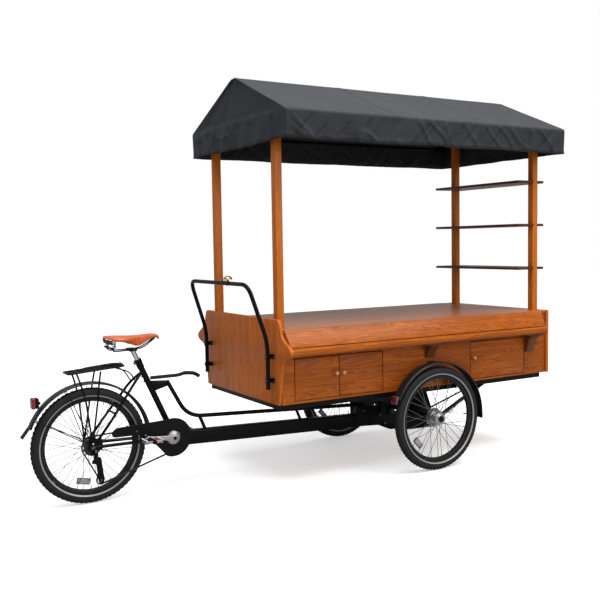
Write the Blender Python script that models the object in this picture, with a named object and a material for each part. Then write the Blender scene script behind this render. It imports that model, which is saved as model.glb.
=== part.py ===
# Cargo tricycle: a wooden vending cabinet with a fabric roof on a two-wheeled steering front,
# pushed by a bicycle rear end.
# Metres, +X forwards, +Y to the rider's left, +Z up, ground at zero.
import math

import bmesh
import bpy
from mathutils import Matrix, Vector

# ---- driving dimensions -------------------------------------------------------------------
wheelDiameter = 0.620
tyreWidth = 0.052
wheelbase = 1.940
track = 1.050
rearAxleToCabinet = 0.900      # rear axle to the cabinet's rear face
cabinetLength = 2.030
cabinetHalfWidth = 0.462
cabinetBottom = 0.490
counterHeight = 0.900
boardThickness = 0.018
endPanelRise = 0.054            # top of the rear end board above the counter
ledgeHeight = 0.790
ledgeHalfWidth = 0.588
postSide = 0.044
postInset = 0.084              # post centre inside the cabinet's outer face
canopyHalfWidth = 0.595
canopyRearOverhang = 0.015
canopyFrontOverhang = 0.025
ridgeHeight = 2.318
eaveHeight = 2.062
valanceBottom = 1.905
clothThickness = 0.004
shelfHeights = (1.175, 1.458, 1.738)
shelfDepth = 0.230
shelfBehind = 0.162            # how far the shelves reach behind the front posts' middle
saddleHeight = 0.884
bracketHeight = 0.307          # bottom bracket above the ground
crankLength = 0.158
steerHalfRange = 30.0          # degrees each way, kept free by the shapes below
pushBarHeight = 1.145
fenderGap = 0.027
gap = 0.0004                   # between pieces that are fastened together
running = 0.005                # between pieces that move past each other

# ---- positions that follow from them ------------------------------------------------------
wheelRadius = wheelDiameter / 2
flapReach = rearAxleToCabinet + wheelRadius + 0.04157
boxRear = (flapReach - (cabinetLength + canopyFrontOverhang)) / 2
boxFront = boxRear + cabinetLength
rearAxle = boxRear - rearAxleToCabinet
frontAxle = rearAxle + wheelbase
bracketX = rearAxle + 0.445
counterBottom = counterHeight - boardThickness
endPanelTop = counterHeight + endPanelRise
postHalfSpacing = cabinetHalfWidth - postInset
postRearX = boxRear + 0.053
postFrontX = boxFront - 0.045
canopyRear = boxRear - canopyRearOverhang
canopyFront = boxFront + canopyFrontOverhang
wallInner = cabinetHalfWidth - boardThickness
doorBottom = cabinetBottom + 0.016
doorTop = ledgeHeight - 0.056
doorEdges = (                  # hinge edge and free edge of the three doors on a side
    (boxRear + 0.1005, boxRear + 0.3865),
    (boxRear + 0.6865, boxRear + 0.3915),
    (boxFront - 0.2135, boxFront - 0.6680),
)
knobHeight = doorTop - 0.096
counterHalf = cabinetHalfWidth + 0.008
frameTop = eaveHeight + 0.047
fenderOuter = wheelRadius + fenderGap + 0.003


# ---- helpers ------------------------------------------------------------------------------
def clearScene():
    for old in list(bpy.data.objects):
        bpy.data.objects.remove(old, do_unlink=True)


def material(name, colour, roughness, metallic):
    made = bpy.data.materials.new(name)
    made.use_nodes = True
    shader = made.node_tree.nodes["Principled BSDF"]
    shader.inputs["Base Color"].default_value = (*colour, 1.0)
    shader.inputs["Roughness"].default_value = roughness
    shader.inputs["Metallic"].default_value = metallic
    return made


def objectFrom(name, bm):
    bmesh.ops.remove_doubles(bm, verts=bm.verts, dist=1e-6)
    bmesh.ops.recalc_face_normals(bm, faces=bm.faces)
    mesh = bpy.data.meshes.new(name)
    bm.to_mesh(mesh)
    bm.free()
    made = bpy.data.objects.new(name, mesh)
    bpy.context.scene.collection.objects.link(made)
    return made


def smooth(made, angle=40):
    mesh = made.data
    for polygon in mesh.polygons:
        polygon.use_smooth = True
    mesh.set_sharp_from_angle(angle=math.radians(angle))


def block(low, high):
    """An upright box between two corners."""
    bm = bmesh.new()
    bmesh.ops.create_cube(bm, size=1.0)
    for vert in bm.verts:
        for axis in range(3):
            vert.co[axis] = low[axis] if vert.co[axis] < 0 else high[axis]
    return bm


def extruded(outline, axis, start, end):
    """A flat outline of pairs, given a thickness along one axis from start to end."""
    others = [i for i in range(3) if i != axis]
    bm = bmesh.new()
    rings = []
    for level in (start, end):
        ring = []
        for pair in outline:
            place = [0.0, 0.0, 0.0]
            place[axis] = level
            place[others[0]] = pair[0]
            place[others[1]] = pair[1]
            ring.append(bm.verts.new(place))
        rings.append(ring)
    bm.faces.new(rings[0])
    bm.faces.new(rings[1])
    count = len(outline)
    for i in range(count):
        j = (i + 1) % count
        bm.faces.new((rings[0][i], rings[0][j], rings[1][j], rings[1][i]))
    return bm


def swept(points, section, up=(0, 0, 1), closed=False):
    """A section of pairs (side, up) carried along a path."""
    path = [Vector(p) for p in points]
    count = len(path)
    bm = bmesh.new()
    rings = []
    for i, here in enumerate(path):
        before = path[i - 1] if i or closed else None
        after = path[(i + 1) % count] if i < count - 1 or closed else None
        arriving = (here - before).normalized() if before is not None else None
        leaving = (after - here).normalized() if after is not None else None
        along = ((arriving or leaving) + (leaving or arriving)).normalized()
        side = along.cross(Vector(up)).normalized()
        top = side.cross(along).normalized()
        rings.append([bm.verts.new(here + side * a + top * b) for a, b in section])
    spans = count if closed else count - 1
    size = len(section)
    for i in range(spans):
        first, second = rings[i], rings[(i + 1) % count]
        for k in range(size):
            n = (k + 1) % size
            bm.faces.new((first[k], first[n], second[n], second[k]))
    if not closed:
        bm.faces.new(rings[0])
        bm.faces.new(rings[-1])
    return bm


def disc(radius, sides=10, turn=0.0):
    angles = [turn + math.tau * k / sides for k in range(sides)]
    return [(radius * math.cos(a), radius * math.sin(a)) for a in angles]


def rectangle(width, height):
    half, tall = width / 2, height / 2
    return [(-half, -tall), (half, -tall), (half, tall), (-half, tall)]


def tube(points, radius, sides=10, up=(0, 0, 1)):
    return swept(points, disc(radius, sides), up)


def bent(points, radius, steps=3):
    """The same path with every inner corner rounded."""
    path = [Vector(p) for p in points]
    made = [path[0]]
    for before, corner, after in zip(path, path[1:], path[2:]):
        reach = min(radius, (corner - before).length * 0.45, (after - corner).length * 0.45)
        start = corner + (before - corner).normalized() * reach
        end = corner + (after - corner).normalized() * reach
        for k in range(steps + 1):
            t = k / steps
            made.append(start * (1 - t) ** 2 + corner * 2 * t * (1 - t) + end * t ** 2)
    made.append(path[-1])
    return made


def lathe(profile, centre, sides=40, start=0.0, sweep=360.0):
    """A closed profile of (radius, y) turned about the Y axis through centre; angles run from +X to +Z."""
    whole = abs(sweep) >= 359.9
    count = sides if whole else sides + 1
    bm = bmesh.new()
    rings = []
    for k in range(count):
        angle = math.radians(start + sweep * k / sides)
        rings.append([
            bm.verts.new((centre[0] + r * math.cos(angle), centre[1] + y, centre[2] + r * math.sin(angle)))
            for r, y in profile
        ])
    size = len(profile)
    for k in range(sides):
        first, second = rings[k], rings[(k + 1) % count]
        for i in range(size):
            j = (i + 1) % size
            bm.faces.new((first[i], first[j], second[j], second[i]))
    if not whole:
        bm.faces.new(rings[0])
        bm.faces.new(rings[-1])
    return bm


def cylinder(centre, radius, y0, y1, sides=20):
    """A round bar along Y."""
    bm = bmesh.new()
    rings = []
    for y in (y0, y1):
        rings.append([bm.verts.new((centre[0] + a, y, centre[1] + b)) for a, b in disc(radius, sides)])
    bm.faces.new(rings[0])
    bm.faces.new(rings[1])
    for i in range(sides):
        j = (i + 1) % sides
        bm.faces.new((rings[0][i], rings[0][j], rings[1][j], rings[1][i]))
    return bm


def upright(centre, radius, z0, z1, sides=20):
    """A round bar along Z."""
    bm = cylinder((0, 0), radius, z0, z1, sides)
    turn = Matrix(((1, 0, 0, centre[0]), (0, 0, -1, centre[1]), (0, 1, 0, 0), (0, 0, 0, 1)))
    bmesh.ops.transform(bm, matrix=turn, verts=bm.verts)
    return bm


def together(*parts):
    """Separate closed shapes kept in one mesh."""
    bm = bmesh.new()
    for part in parts:
        mesh = bpy.data.meshes.new("part")
        part.to_mesh(mesh)
        part.free()
        bm.from_mesh(mesh)
        bpy.data.meshes.remove(mesh)
    return bm


def mirrored(bm):
    """The same shape on the other side of the vehicle, made in a copy."""
    made = bm.copy()
    bmesh.ops.scale(made, vec=(1, -1, 1), verts=made.verts)
    bmesh.ops.reverse_faces(made, faces=made.faces)
    return made


def piece(name, finish, shapes, cuts=(), bevel=0.0, angle=40):
    """One solid: the shapes joined, the cuts taken away."""
    made = objectFrom(name, shapes[0])
    made.data.materials.append(finish)
    if bevel:
        rounding = made.modifiers.new("edges", "BEVEL")
        rounding.width = bevel
        rounding.segments = 1
        rounding.limit_method = "ANGLE"
    for kind, group in (("UNION", shapes[1:]), ("DIFFERENCE", cuts)):
        for number, shape in enumerate(group):
            other = objectFrom(f"{name}_{kind.lower()}_{number}", shape)
            other.hide_render = True
            other.display_type = "WIRE"
            joined = made.modifiers.new(other.name, "BOOLEAN")
            joined.operation = kind
            joined.object = other
            joined.solver = "EXACT"
    smooth(made, angle)
    return made


clearScene()
blackPaint = material("black_paint", (0.012, 0.012, 0.013), 0.35, 0.3)
steelFinish = material("bright_steel", (0.62, 0.62, 0.63), 0.3, 1.0)
alloyFinish = material("alloy", (0.7, 0.7, 0.71), 0.32, 1.0)
woodFinish = material("varnished_wood", (0.48, 0.15, 0.035), 0.3, 0.0)
darkWood = material("dark_wood", (0.12, 0.03, 0.012), 0.35, 0.0)
rubberFinish = material("tyre_rubber", (0.02, 0.02, 0.021), 0.8, 0.0)
gripFinish = material("grip_rubber", (0.015, 0.015, 0.015), 0.7, 0.0)
clothFinish = material("canopy_cloth", (0.05, 0.052, 0.058), 0.85, 0.0)
leatherFinish = material("saddle_leather", (0.45, 0.13, 0.035), 0.5, 0.0)
guardFinish = material("guard_plastic", (0.018, 0.018, 0.019), 0.4, 0.0)
lensFinish = material("red_lens", (0.55, 0.01, 0.015), 0.2, 0.0)
brassFinish = material("brass", (0.7, 0.45, 0.15), 0.3, 1.0)


# ---- wheels -------------------------------------------------------------------------------
def tyre(name, centre):
    middle = wheelRadius - tyreWidth / 2
    section = [
        (middle + math.cos(a) * tyreWidth / 2, math.sin(a) * tyreWidth / 2)
        for a in (math.tau * (k + 0.5) / 10 for k in range(10))
    ]
    scale = wheelRadius / max(r for r, y in section)
    section = [(r * scale, y) for r, y in section]
    piece(name, rubberFinish, [lathe(section, centre, 40)])


def spokes(centre, hubRadius, rimRadius, flange, count):
    bars = []
    for k in range(count):
        angle = math.tau * k / count
        side = flange if k % 2 else -flange
        inner = Vector((math.cos(angle) * hubRadius, side, math.sin(angle) * hubRadius))
        outer = Vector((math.cos(angle) * rimRadius, 0.0, math.sin(angle) * rimRadius))
        across = Vector((-math.sin(angle), 0.0, math.cos(angle)))
        bars.append(swept([Vector(centre) + inner, Vector(centre) + outer], disc(0.0016, 4), across))
    return together(*bars)


def wheel(name, centre, hubHalf, flange, flangeRadius, bore, discSide=0.0):
    rimOuter = wheelRadius - tyreWidth - gap
    ring = [(rimOuter, -0.013), (rimOuter, 0.013), (rimOuter - 0.018, 0.009), (rimOuter - 0.018, -0.009)]
    side = [(0.016, flange - 0.006), (flangeRadius, flange - 0.002), (flangeRadius, flange + 0.002),
            (0.019, flange + 0.004), (0.017, hubHalf), (bore, hubHalf)]
    hub = [(r, -y) for r, y in reversed(side)] + side
    shapes = [lathe(ring, centre, 36), spokes(centre, flangeRadius - 0.004, rimOuter - 0.009, flange, 20),
              lathe(hub, centre, 16)]
    if discSide:
        low = min(discSide * (flange + 0.001), discSide * (flange + 0.007))
        plate = [(0.015, low), (0.058, low), (0.058, low + 0.006), (0.015, low + 0.006)]
        shapes.append(lathe(plate, centre, 20))
    piece(name, steelFinish, shapes)


rearCentre = (rearAxle, 0.0, wheelRadius)
tyre("rear_tyre", rearCentre)
wheel("rear_wheel_hub", rearCentre, 0.048, 0.030, 0.028, 0.0078)
sprocketSteps = [(0.0195, -0.0485), (0.050, -0.0485), (0.050, -0.0445), (0.044, -0.0445), (0.044, -0.0385),
                 (0.050, -0.0385), (0.050, -0.0365), (0.0195, -0.0365)]
piece("rear_sprockets", steelFinish, [lathe(sprocketSteps, rearCentre, 24)])
for side, label in ((-1, "right"), (1, "left")):
    centre = (frontAxle, side * track / 2, wheelRadius)
    tyre(f"front_tyre_{label}", centre)
    wheel(f"front_wheel_hub_{label}", centre, 0.036, 0.026, 0.037, 0.0135, -side)


# ---- rear frame ---------------------------------------------------------------------------
seatTop = Vector((rearAxle + 0.285, 0, 0.725))
seatFoot = Vector((bracketX + 0.020, 0, bracketHeight + 0.02))
seatLine = (seatFoot - seatTop).normalized()
lugHeight = 0.610
lugX = seatTop.x + (seatTop.z - lugHeight) * seatLine.x / -seatLine.z
turntableTop = wheelRadius - 0.010
beamEnd = frontAxle + 0.020
headLow, headHigh = wheelRadius - 0.164, wheelRadius + 0.015
bracketPlate = [
    (-0.215, headHigh), (-0.165, headHigh), (-0.075, headHigh - 0.040), (0.060, headHigh - 0.049),
    (0.110, headLow + 0.054), (0.100, headLow), (0.030, headLow), (-0.060, headLow + 0.040),
    (-0.250, headLow + 0.054),
]
lug = [(0, lugHeight + 0.012), (0.112, lugHeight + 0.004), (0.112, lugHeight - 0.026),
       (0.025, lugHeight - 0.052)]
upperTube = [(lugX + 0.115, 0, lugHeight - 0.002), (lugX + 0.225, 0, lugHeight - 0.213),
             (frontAxle - 0.175, 0, wheelRadius + 0.020)]
dropout = [(-0.020, 0.020), (0.045, 0.045), (0.050, -0.014), (-0.012, -0.026)]
across = (0, 1, 0)
stayHalf = 0.062               # from the middle to the stays at the rear axle
frameShapes = [
    swept([(bracketX, 0, bracketHeight - 0.022), (beamEnd, 0, wheelRadius - 0.084)], rectangle(0.050, 0.082)),
    cylinder((bracketX, bracketHeight), 0.026, -0.036, 0.036, 20),
    tube([seatFoot, seatTop], 0.0165, 12, across),
    tube(bent(upperTube, 0.07), 0.0115, 10, across),
    extruded([(lugX + x, z) for x, z in lug], 1, -0.005, 0.005),
    tube([(lugX + 0.352, 0, bracketHeight - 0.042), (lugX + 0.300, 0, lugHeight - 0.222)], 0.010, 8, across),
    tube([(boxRear + 0.415, 0, bracketHeight - 0.045), (boxRear + 0.375, 0, bracketHeight + 0.045)],
         0.009, 8, across),
    extruded([(frontAxle + x, z) for x, z in bracketPlate], 1, -0.030, 0.030),
    upright((frontAxle, 0), 0.060, turntableTop - 0.045, turntableTop, 20),
]
for side in (-1, 1):
    crown = seatTop + seatLine * 0.05
    wheelEnd = (rearAxle, side * stayHalf, wheelRadius)
    seatStay = [crown, crown + Vector((-0.06, side * 0.034, -0.055)),
                (rearAxle + 0.105, side * stayHalf, wheelRadius + 0.132), wheelEnd]
    chainStay = [(bracketX, side * 0.024, bracketHeight - 0.004),
                 (bracketX - 0.10, side * 0.046, bracketHeight - 0.006), wheelEnd]
    frameShapes.append(tube(bent(seatStay, 0.03), 0.0075, 8, across))
    frameShapes.append(tube(bent(chainStay, 0.05), 0.009, 8))
    frameShapes.append(extruded([(rearAxle + x, wheelRadius + z) for x, z in dropout], 1,
                                side * stayHalf - 0.003, side * stayHalf + 0.003))
frameShapes.append(cylinder((rearAxle, wheelRadius), 0.0065, -0.074, 0.074, 12))
piece("main_frame", blackPaint, frameShapes, [cylinder((bracketX, bracketHeight), 0.0105, -0.050, 0.050, 16)])

postFoot = seatTop - seatLine * 0.0006
postHead = Vector((rearAxle + 0.252, 0, saddleHeight - 0.0955))
piece("seat_post", steelFinish, [
    tube([postFoot, postFoot - seatLine * 0.022], 0.021, 12, (0, 1, 0)),
    tube([postFoot - seatLine * 0.002, postHead], 0.0136, 12, (0, 1, 0)),
])

saddleTail = rearAxle + 0.103
saddleNose = saddleTail + 0.300


def saddleRing(x, half, top, low, sides=12):
    ring = []
    for k in range(sides):
        a = math.tau * k / sides
        y = half * math.copysign(abs(math.cos(a)) ** 0.8, math.cos(a))
        z = (top + low) / 2 + (top - low) / 2 * math.copysign(abs(math.sin(a)) ** 0.7, math.sin(a))
        ring.append(Vector((x, y, z)))
    return ring


def lofted(rings):
    bm = bmesh.new()
    made = [[bm.verts.new(p) for p in ring] for ring in rings]
    size = len(made[0])
    for first, second in zip(made, made[1:]):
        for k in range(size):
            n = (k + 1) % size
            bm.faces.new((first[k], first[n], second[n], second[k]))
    bm.faces.new(made[0])
    bm.faces.new(made[-1])
    return bm


top = saddleHeight
saddleRings = [
    saddleRing(saddleTail, 0.060, top - 0.004, top - 0.034),
    saddleRing(saddleTail + 0.020, 0.096, top, top - 0.048),
    saddleRing(saddleTail + 0.075, 0.106, top - 0.001, top - 0.056),
    saddleRing(saddleTail + 0.130, 0.078, top - 0.004, top - 0.058),
    saddleRing(saddleTail + 0.180, 0.044, top - 0.003, top - 0.060),
    saddleRing(saddleTail + 0.250, 0.026, top - 0.004, top - 0.052),
    saddleRing(saddleNose - 0.012, 0.020, top - 0.010, top - 0.040),
    saddleRing(saddleNose, 0.010, top - 0.016, top - 0.032),
]
piece("saddle_cover", leatherFinish, [lofted(saddleRings)], angle=60)
saddleRailZ = top - 0.082
railShapes = [
    block((saddleTail + 0.120, -0.034, saddleRailZ - 0.007), (saddleTail + 0.165, 0.034, saddleRailZ + 0.008)),
    block((saddleTail + 0.012, -0.070, top - 0.067), (saddleTail + 0.024, 0.070, top - 0.059)),
]
for side in (-1, 1):
    saddleRail = [
        (saddleTail + 0.018, side * 0.060, top - 0.064), (saddleTail + 0.030, side * 0.040, saddleRailZ),
        (saddleTail + 0.120, side * 0.024, saddleRailZ), (saddleTail + 0.175, side * 0.018, top - 0.066),
    ]
    railShapes.append(tube(bent(saddleRail, 0.02), 0.0035, 6))
piece("saddle_rails", blackPaint, railShapes)

gripZ = seatTop.z - 0.088
gripX = seatTop.x + (seatTop.z - gripZ) * seatLine.x / -seatLine.z
gripPath = [(gripX + 0.0255, 0, gripZ), (boxRear - 0.385, 0, gripZ), (boxRear - 0.350, 0, gripZ + 0.010),
            (boxRear - 0.290, 0, gripZ + 0.003), (boxRear - 0.262, 0, gripZ - 0.017)]
piece("lift_handle", gripFinish, [tube(bent(gripPath, 0.015), 0.0105, 10, across)])


# ---- drive --------------------------------------------------------------------------------
def guardOutline():
    made = []
    for k in range(17):
        a = math.radians(-110 + 215 * k / 16)
        made.append((bracketX + 0.106 * math.cos(a), bracketHeight + 0.106 * math.sin(a)))
    arm = [(-0.308, 0.091), (-0.332, 0.081), (-0.345, 0.065), (-0.332, 0.043), (-0.160, 0.038)]
    return made + [(bracketX + x, bracketHeight + z) for x, z in arm]


guardHole = cylinder((bracketX, bracketHeight), 0.044, -0.085, -0.060, 24)
piece("chain_guard", guardFinish, [
    extruded(guardOutline(), 1, -0.0740, -0.0700),
    block((bracketX - 0.218, -0.0735, bracketHeight - 0.006),
          (bracketX - 0.200, -0.0606, bracketHeight + 0.048)),
], [guardHole])

armBack = Vector((-0.992, 0, 0.125)).normalized() * crankLength
crankShapes = [
    cylinder((bracketX, bracketHeight), 0.0085, -0.104, 0.104, 16),
    cylinder((bracketX, bracketHeight), 0.074, -0.0545, -0.0505, 32),
    cylinder((bracketX, bracketHeight), 0.038, -0.0860, -0.0500, 24),
]
for side, way in ((-1, 1), (1, -1)):
    crankShapes.append(swept([
        (bracketX - armBack.x * way * 0.10, side * 0.092, bracketHeight - armBack.z * way * 0.10),
        (bracketX + armBack.x * way * 1.06, side * 0.098, bracketHeight + armBack.z * way * 1.06),
    ], rectangle(0.012, 0.024)))
piece("crankset", alloyFinish, crankShapes)
for side, way, label in ((-1, 1, "right"), (1, -1, "left")):
    eye = (bracketX + armBack.x * way, bracketHeight + armBack.z * way)
    far, near = side * 0.208, side * 0.1095
    body = [(eye[0] - 0.044, eye[1] - 0.011), (eye[0] + 0.044, eye[1] - 0.011),
            (eye[0] + 0.044, eye[1] + 0.011), (eye[0] - 0.044, eye[1] + 0.011)]
    piece(f"pedal_{label}", gripFinish, [extruded(body, 1, min(far, near), max(far, near))], bevel=0.003)

upperPulley = (rearAxle + 0.026, wheelRadius - 0.072)
lowerPulley = (rearAxle + 0.040, wheelRadius - 0.182)


def arc(centre, radius, start, end, steps):
    angles = [math.radians(start + (end - start) * k / steps) for k in range(steps + 1)]
    return [(centre[0] + radius * math.cos(a), -0.0475, centre[1] + radius * math.sin(a)) for a in angles]


chainPath = arc((rearAxle, wheelRadius), 0.0595, 215, 94, 8)
chainPath += arc((bracketX, bracketHeight), 0.0835, 94, -76, 10)
chainPath += arc(lowerPulley, 0.0225, -76, -230, 5)
piece("chain", steelFinish, [swept(chainPath, rectangle(0.0070, 0.0070), (0, 1, 0), closed=True)])

cageY = (-0.0605, -0.0565)
cage = [(upperPulley[0] + x, upperPulley[1] + z) for x, z in ((-0.016, 0.012), (0.012, 0.016))]
cageFoot = ((0.016, 0.004), (0.010, -0.018), (-0.014, -0.012))
cage += [(lowerPulley[0] + x, lowerPulley[1] + z) for x, z in cageFoot]
derailleurShapes = [
    extruded(cage, 1, *cageY),
    cylinder(upperPulley, 0.0140, -0.0585, -0.0445, 12),
    cylinder(lowerPulley, 0.0140, -0.0585, -0.0445, 12),
    block((rearAxle - 0.012, -0.0760, wheelRadius - 0.086), (rearAxle + 0.034, -0.0590, wheelRadius - 0.048)),
    block((rearAxle + 0.000, -0.0740, wheelRadius - 0.060), (rearAxle + 0.022, -0.0656, wheelRadius - 0.010)),
]
piece("derailleur", blackPaint, derailleurShapes)


# ---- fenders, rack, lamp ------------------------------------------------------------------
fenderSide = [(0.012, 0.032), (0.0125, 0.029), (0.0055, 0.0265), (0.003, 0.0185)]
fenderSide = [(0.0, 0.020), (0.003, 0.029)] + fenderSide
fenderSection = [(fenderOuter - depth, y) for depth, y in fenderSide]
fenderSection += [(r, -y) for r, y in reversed(fenderSection)]


def onFender(angle, outwards):
    """A point over the rear wheel, measured from the fender's outer face."""
    reach = fenderOuter + outwards
    return Vector((rearAxle + reach * math.cos(math.radians(angle)), 0.0,
                   wheelRadius + reach * math.sin(math.radians(angle))))


flapTop = onFender(157.4, -0.002)
piece("rear_fender", guardFinish, [
    lathe(fenderSection, rearCentre, 20, 9, 149),
    swept([flapTop, flapTop + Vector((-0.038, 0.0, -0.048))], rectangle(0.058, 0.004)),
])
for side, label in ((-1, "right"), (1, "left")):
    centre = (frontAxle, side * track / 2, wheelRadius)
    inner = side * (track / 2 - 0.026)
    wall = side * (cabinetHalfWidth + gap)
    piece(f"front_fender_{label}", guardFinish, [
        lathe(fenderSection, centre, 22, -2, 156),
        block((frontAxle - 0.020, min(inner, wall), wheelDiameter + fenderGap - 0.013),
              (frontAxle + 0.020, max(inner, wall), wheelDiameter + fenderGap - 0.002)),
    ])

rackBack = rearAxle - 0.118
rackFront = rearAxle + 0.188
rackLow = wheelDiameter + 0.084
rackRise = 0.020               # the platform climbs this much towards its front
rackSide = 0.052
legSpread = 0.0760             # half the width of the rack's legs at the axle


def onRack(x, y):
    return (x, y, rackLow + rackRise * (x - rackBack) / (rackFront - rackBack))


rackShapes = [tube([onRack(rackBack, 0), onRack(rackFront, 0)], 0.005, 6, across)]
for side in (-1, 1):
    y = side * rackSide
    rackShapes.append(tube([onRack(rackBack, y), onRack(rackFront, y)], 0.005, 6, across))
    for top, knee, foot, lift in ((0.046, 0.086, -0.006, 0.018), (0.174, 0.150, -0.004, 0.026)):
        leg = [(rackBack + top, y, rackLow + 0.002), (rackBack + knee, side * 0.068, rackLow - 0.144),
               (rearAxle + foot, side * legSpread, wheelRadius + lift)]
        rackShapes.append(tube(leg, 0.0042, 6, across))
    strut = [(rackFront - 0.060, y, rackLow + 0.016), (rackFront + 0.026, y, rackLow - 0.014),
             (rackFront + 0.062, side * 0.0480, rackLow - 0.076)]
    rackShapes.append(tube(bent(strut, 0.03), 0.0035, 6, across))
    eye = (rearAxle - 0.005, side * 0.080, wheelRadius + 0.022)
    rackShapes.append(tube([eye, (eye[0], side * 0.0700, eye[2])], 0.010, 10))
for x in (rackBack, rackBack + 0.110, rackFront):
    rackShapes.append(tube([onRack(x, -0.058), onRack(x, 0.058)], 0.005, 6))
piece("rear_rack", blackPaint, rackShapes)
lamp = onFender(137.4, 0.037)
piece("tail_lamp", lensFinish, [
    block((lamp.x - 0.0185, -0.024, lamp.z - 0.029), (lamp.x + 0.0185, 0.024, lamp.z + 0.029)),
], bevel=0.006)


# ---- steering front: chassis --------------------------------------------------------------
railLow, railHigh = cabinetBottom - 0.0317, cabinetBottom - 0.0017
axleLow, axleHigh = wheelRadius - 0.004, wheelRadius + 0.066
railIn, railOut = cabinetHalfWidth - 0.047, cabinetHalfWidth - 0.017
crossHalf = cabinetHalfWidth - 0.032
beamHalf = cabinetHalfWidth - 0.057
hangerY = 0.300                # the plates that hang the axle beam under the rails
chassisShapes = [block((boxRear + 0.020, railIn, railLow), (boxFront - 0.050, railOut, railHigh)),
                 block((boxRear + 0.020, -railOut, railLow), (boxFront - 0.050, -railIn, railHigh))]
crossMembers = (boxRear + 0.021, boxRear + 0.560, frontAxle - 0.060, frontAxle + 0.030, frontAxle + 0.640,
                boxFront - 0.081)
for x in crossMembers:
    chassisShapes.append(block((x, -crossHalf, railLow + 0.001), (x + 0.030, crossHalf, railHigh - 0.001)))
chassisShapes.append(block((frontAxle - 0.035, -beamHalf, axleLow), (frontAxle + 0.035, beamHalf, axleHigh)))
chassisShapes.append(upright((frontAxle, 0), 0.060, turntableTop + running, axleLow + 0.020, 20))
hanger = [
    (frontAxle - 0.062, wheelRadius - 0.104), (frontAxle + 0.128, wheelRadius - 0.108),
    (frontAxle + 0.136, wheelRadius + 0.020), (frontAxle + 0.085, railLow + 0.010),
    (frontAxle - 0.055, railLow + 0.010), (frontAxle - 0.064, wheelRadius + 0.080),
]
for side in (-1, 1):
    y = side * hangerY
    ends = (side * (beamHalf - 0.010), side * (track / 2 + 0.048))
    chassisShapes.append(cylinder((frontAxle, wheelRadius), 0.0115, min(ends), max(ends), 16))
    chassisShapes.append(extruded(hanger, 1, y - 0.006, y + 0.006))
    chassisShapes.append(tube([(frontAxle + 0.110, y, wheelRadius - 0.096),
                               (frontAxle + 0.655, y, railLow + 0.012)], 0.0125, 8, across))
    chassisShapes.append(tube([(frontAxle + 0.110, y, wheelRadius + 0.006),
                               (frontAxle + 0.660, y, railLow + 0.020)], 0.0060, 6, across))
piece("front_chassis", blackPaint, chassisShapes)

legX = boxRear - 0.030
barTopX = boxRear - 0.135
barSide = cabinetHalfWidth - 0.067
leg = [(legX, barSide, cabinetBottom + 0.087), (legX, barSide, pushBarHeight - 0.315),
       (barTopX, barSide - 0.015, pushBarHeight)]
pushPath = [Vector(p) for p in leg] + [Vector((p[0], -p[1], p[2])) for p in reversed(leg)]
pushShapes = [swept(bent(pushPath, 0.065, 4), disc(0.0115, 10), (1, 0, 0.35))]
for side in (-1, 1):
    for z in (cabinetBottom + 0.132, cabinetBottom + 0.262):
        pushShapes.append(block((legX - 0.016, side * barSide - 0.017, z - 0.013),
                                (boxRear - gap, side * barSide + 0.017, z + 0.013)))
piece("push_bar", blackPaint, pushShapes)
bellY = -0.140
piece("bell", brassFinish, [
    upright((barTopX, bellY), 0.006, pushBarHeight + 0.0120, pushBarHeight + 0.024, 8),
    upright((barTopX, bellY), 0.026, pushBarHeight + 0.022, pushBarHeight + 0.036, 16),
    upright((barTopX, bellY), 0.018, pushBarHeight + 0.034, pushBarHeight + 0.043, 16),
])


# ---- cabinet ------------------------------------------------------------------------------
endThickness = 0.020
frontThickness = 0.022
insideRear = boxRear + endThickness + gap
insideFront = boxFront - frontThickness - gap
floorTop = cabinetBottom + 0.0124
# the end board swells out to hold the ledge: pairs of half width and height, from the bottom up
halfProfile = [
    (cabinetHalfWidth - 0.009, cabinetBottom), (cabinetHalfWidth + 0.004, cabinetBottom + 0.090),
    (cabinetHalfWidth + 0.020, ledgeHeight - 0.121), (cabinetHalfWidth + 0.035, ledgeHeight - 0.070),
    (cabinetHalfWidth + 0.057, ledgeHeight - 0.047), (ledgeHalfWidth - 0.026, ledgeHeight - 0.035),
    (ledgeHalfWidth + 0.004, ledgeHeight - 0.016), (ledgeHalfWidth + 0.006, ledgeHeight + 0.006),
    (ledgeHalfWidth - 0.025, ledgeHeight + 0.027), (cabinetHalfWidth + 0.058, ledgeHeight + 0.052),
    (cabinetHalfWidth + 0.026, endPanelTop - 0.080), (cabinetHalfWidth + 0.012, endPanelTop - 0.039),
    (cabinetHalfWidth + 0.002, endPanelTop - 0.012), (cabinetHalfWidth - 0.016, endPanelTop),
]
piece("rear_end_panel", woodFinish, [
    extruded(halfProfile + [(-y, z) for y, z in reversed(halfProfile)], 0, boxRear, boxRear + endThickness),
], bevel=0.003)
frontHalf = cabinetHalfWidth + 0.016
piece("front_end_panel", woodFinish, [
    block((boxFront - frontThickness, -frontHalf, cabinetBottom), (boxFront, frontHalf, counterHeight)),
], bevel=0.003)
piece("cabinet_floor", woodFinish, [
    block((insideRear, -cabinetHalfWidth, cabinetBottom), (insideFront, cabinetHalfWidth, floorTop)),
])
postHole = postSide / 2 + gap
postHoles = [
    block((x - postHole, y - postHole, counterBottom - 0.01),
          (x + postHole, y + postHole, counterHeight + 0.01))
    for x in (postRearX, postFrontX) for y in (-postHalfSpacing, postHalfSpacing)
]
piece("counter_top", woodFinish, [
    block((insideRear, -counterHalf, counterBottom), (insideFront, counterHalf, counterHeight)),
], postHoles, bevel=0.002)


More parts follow.
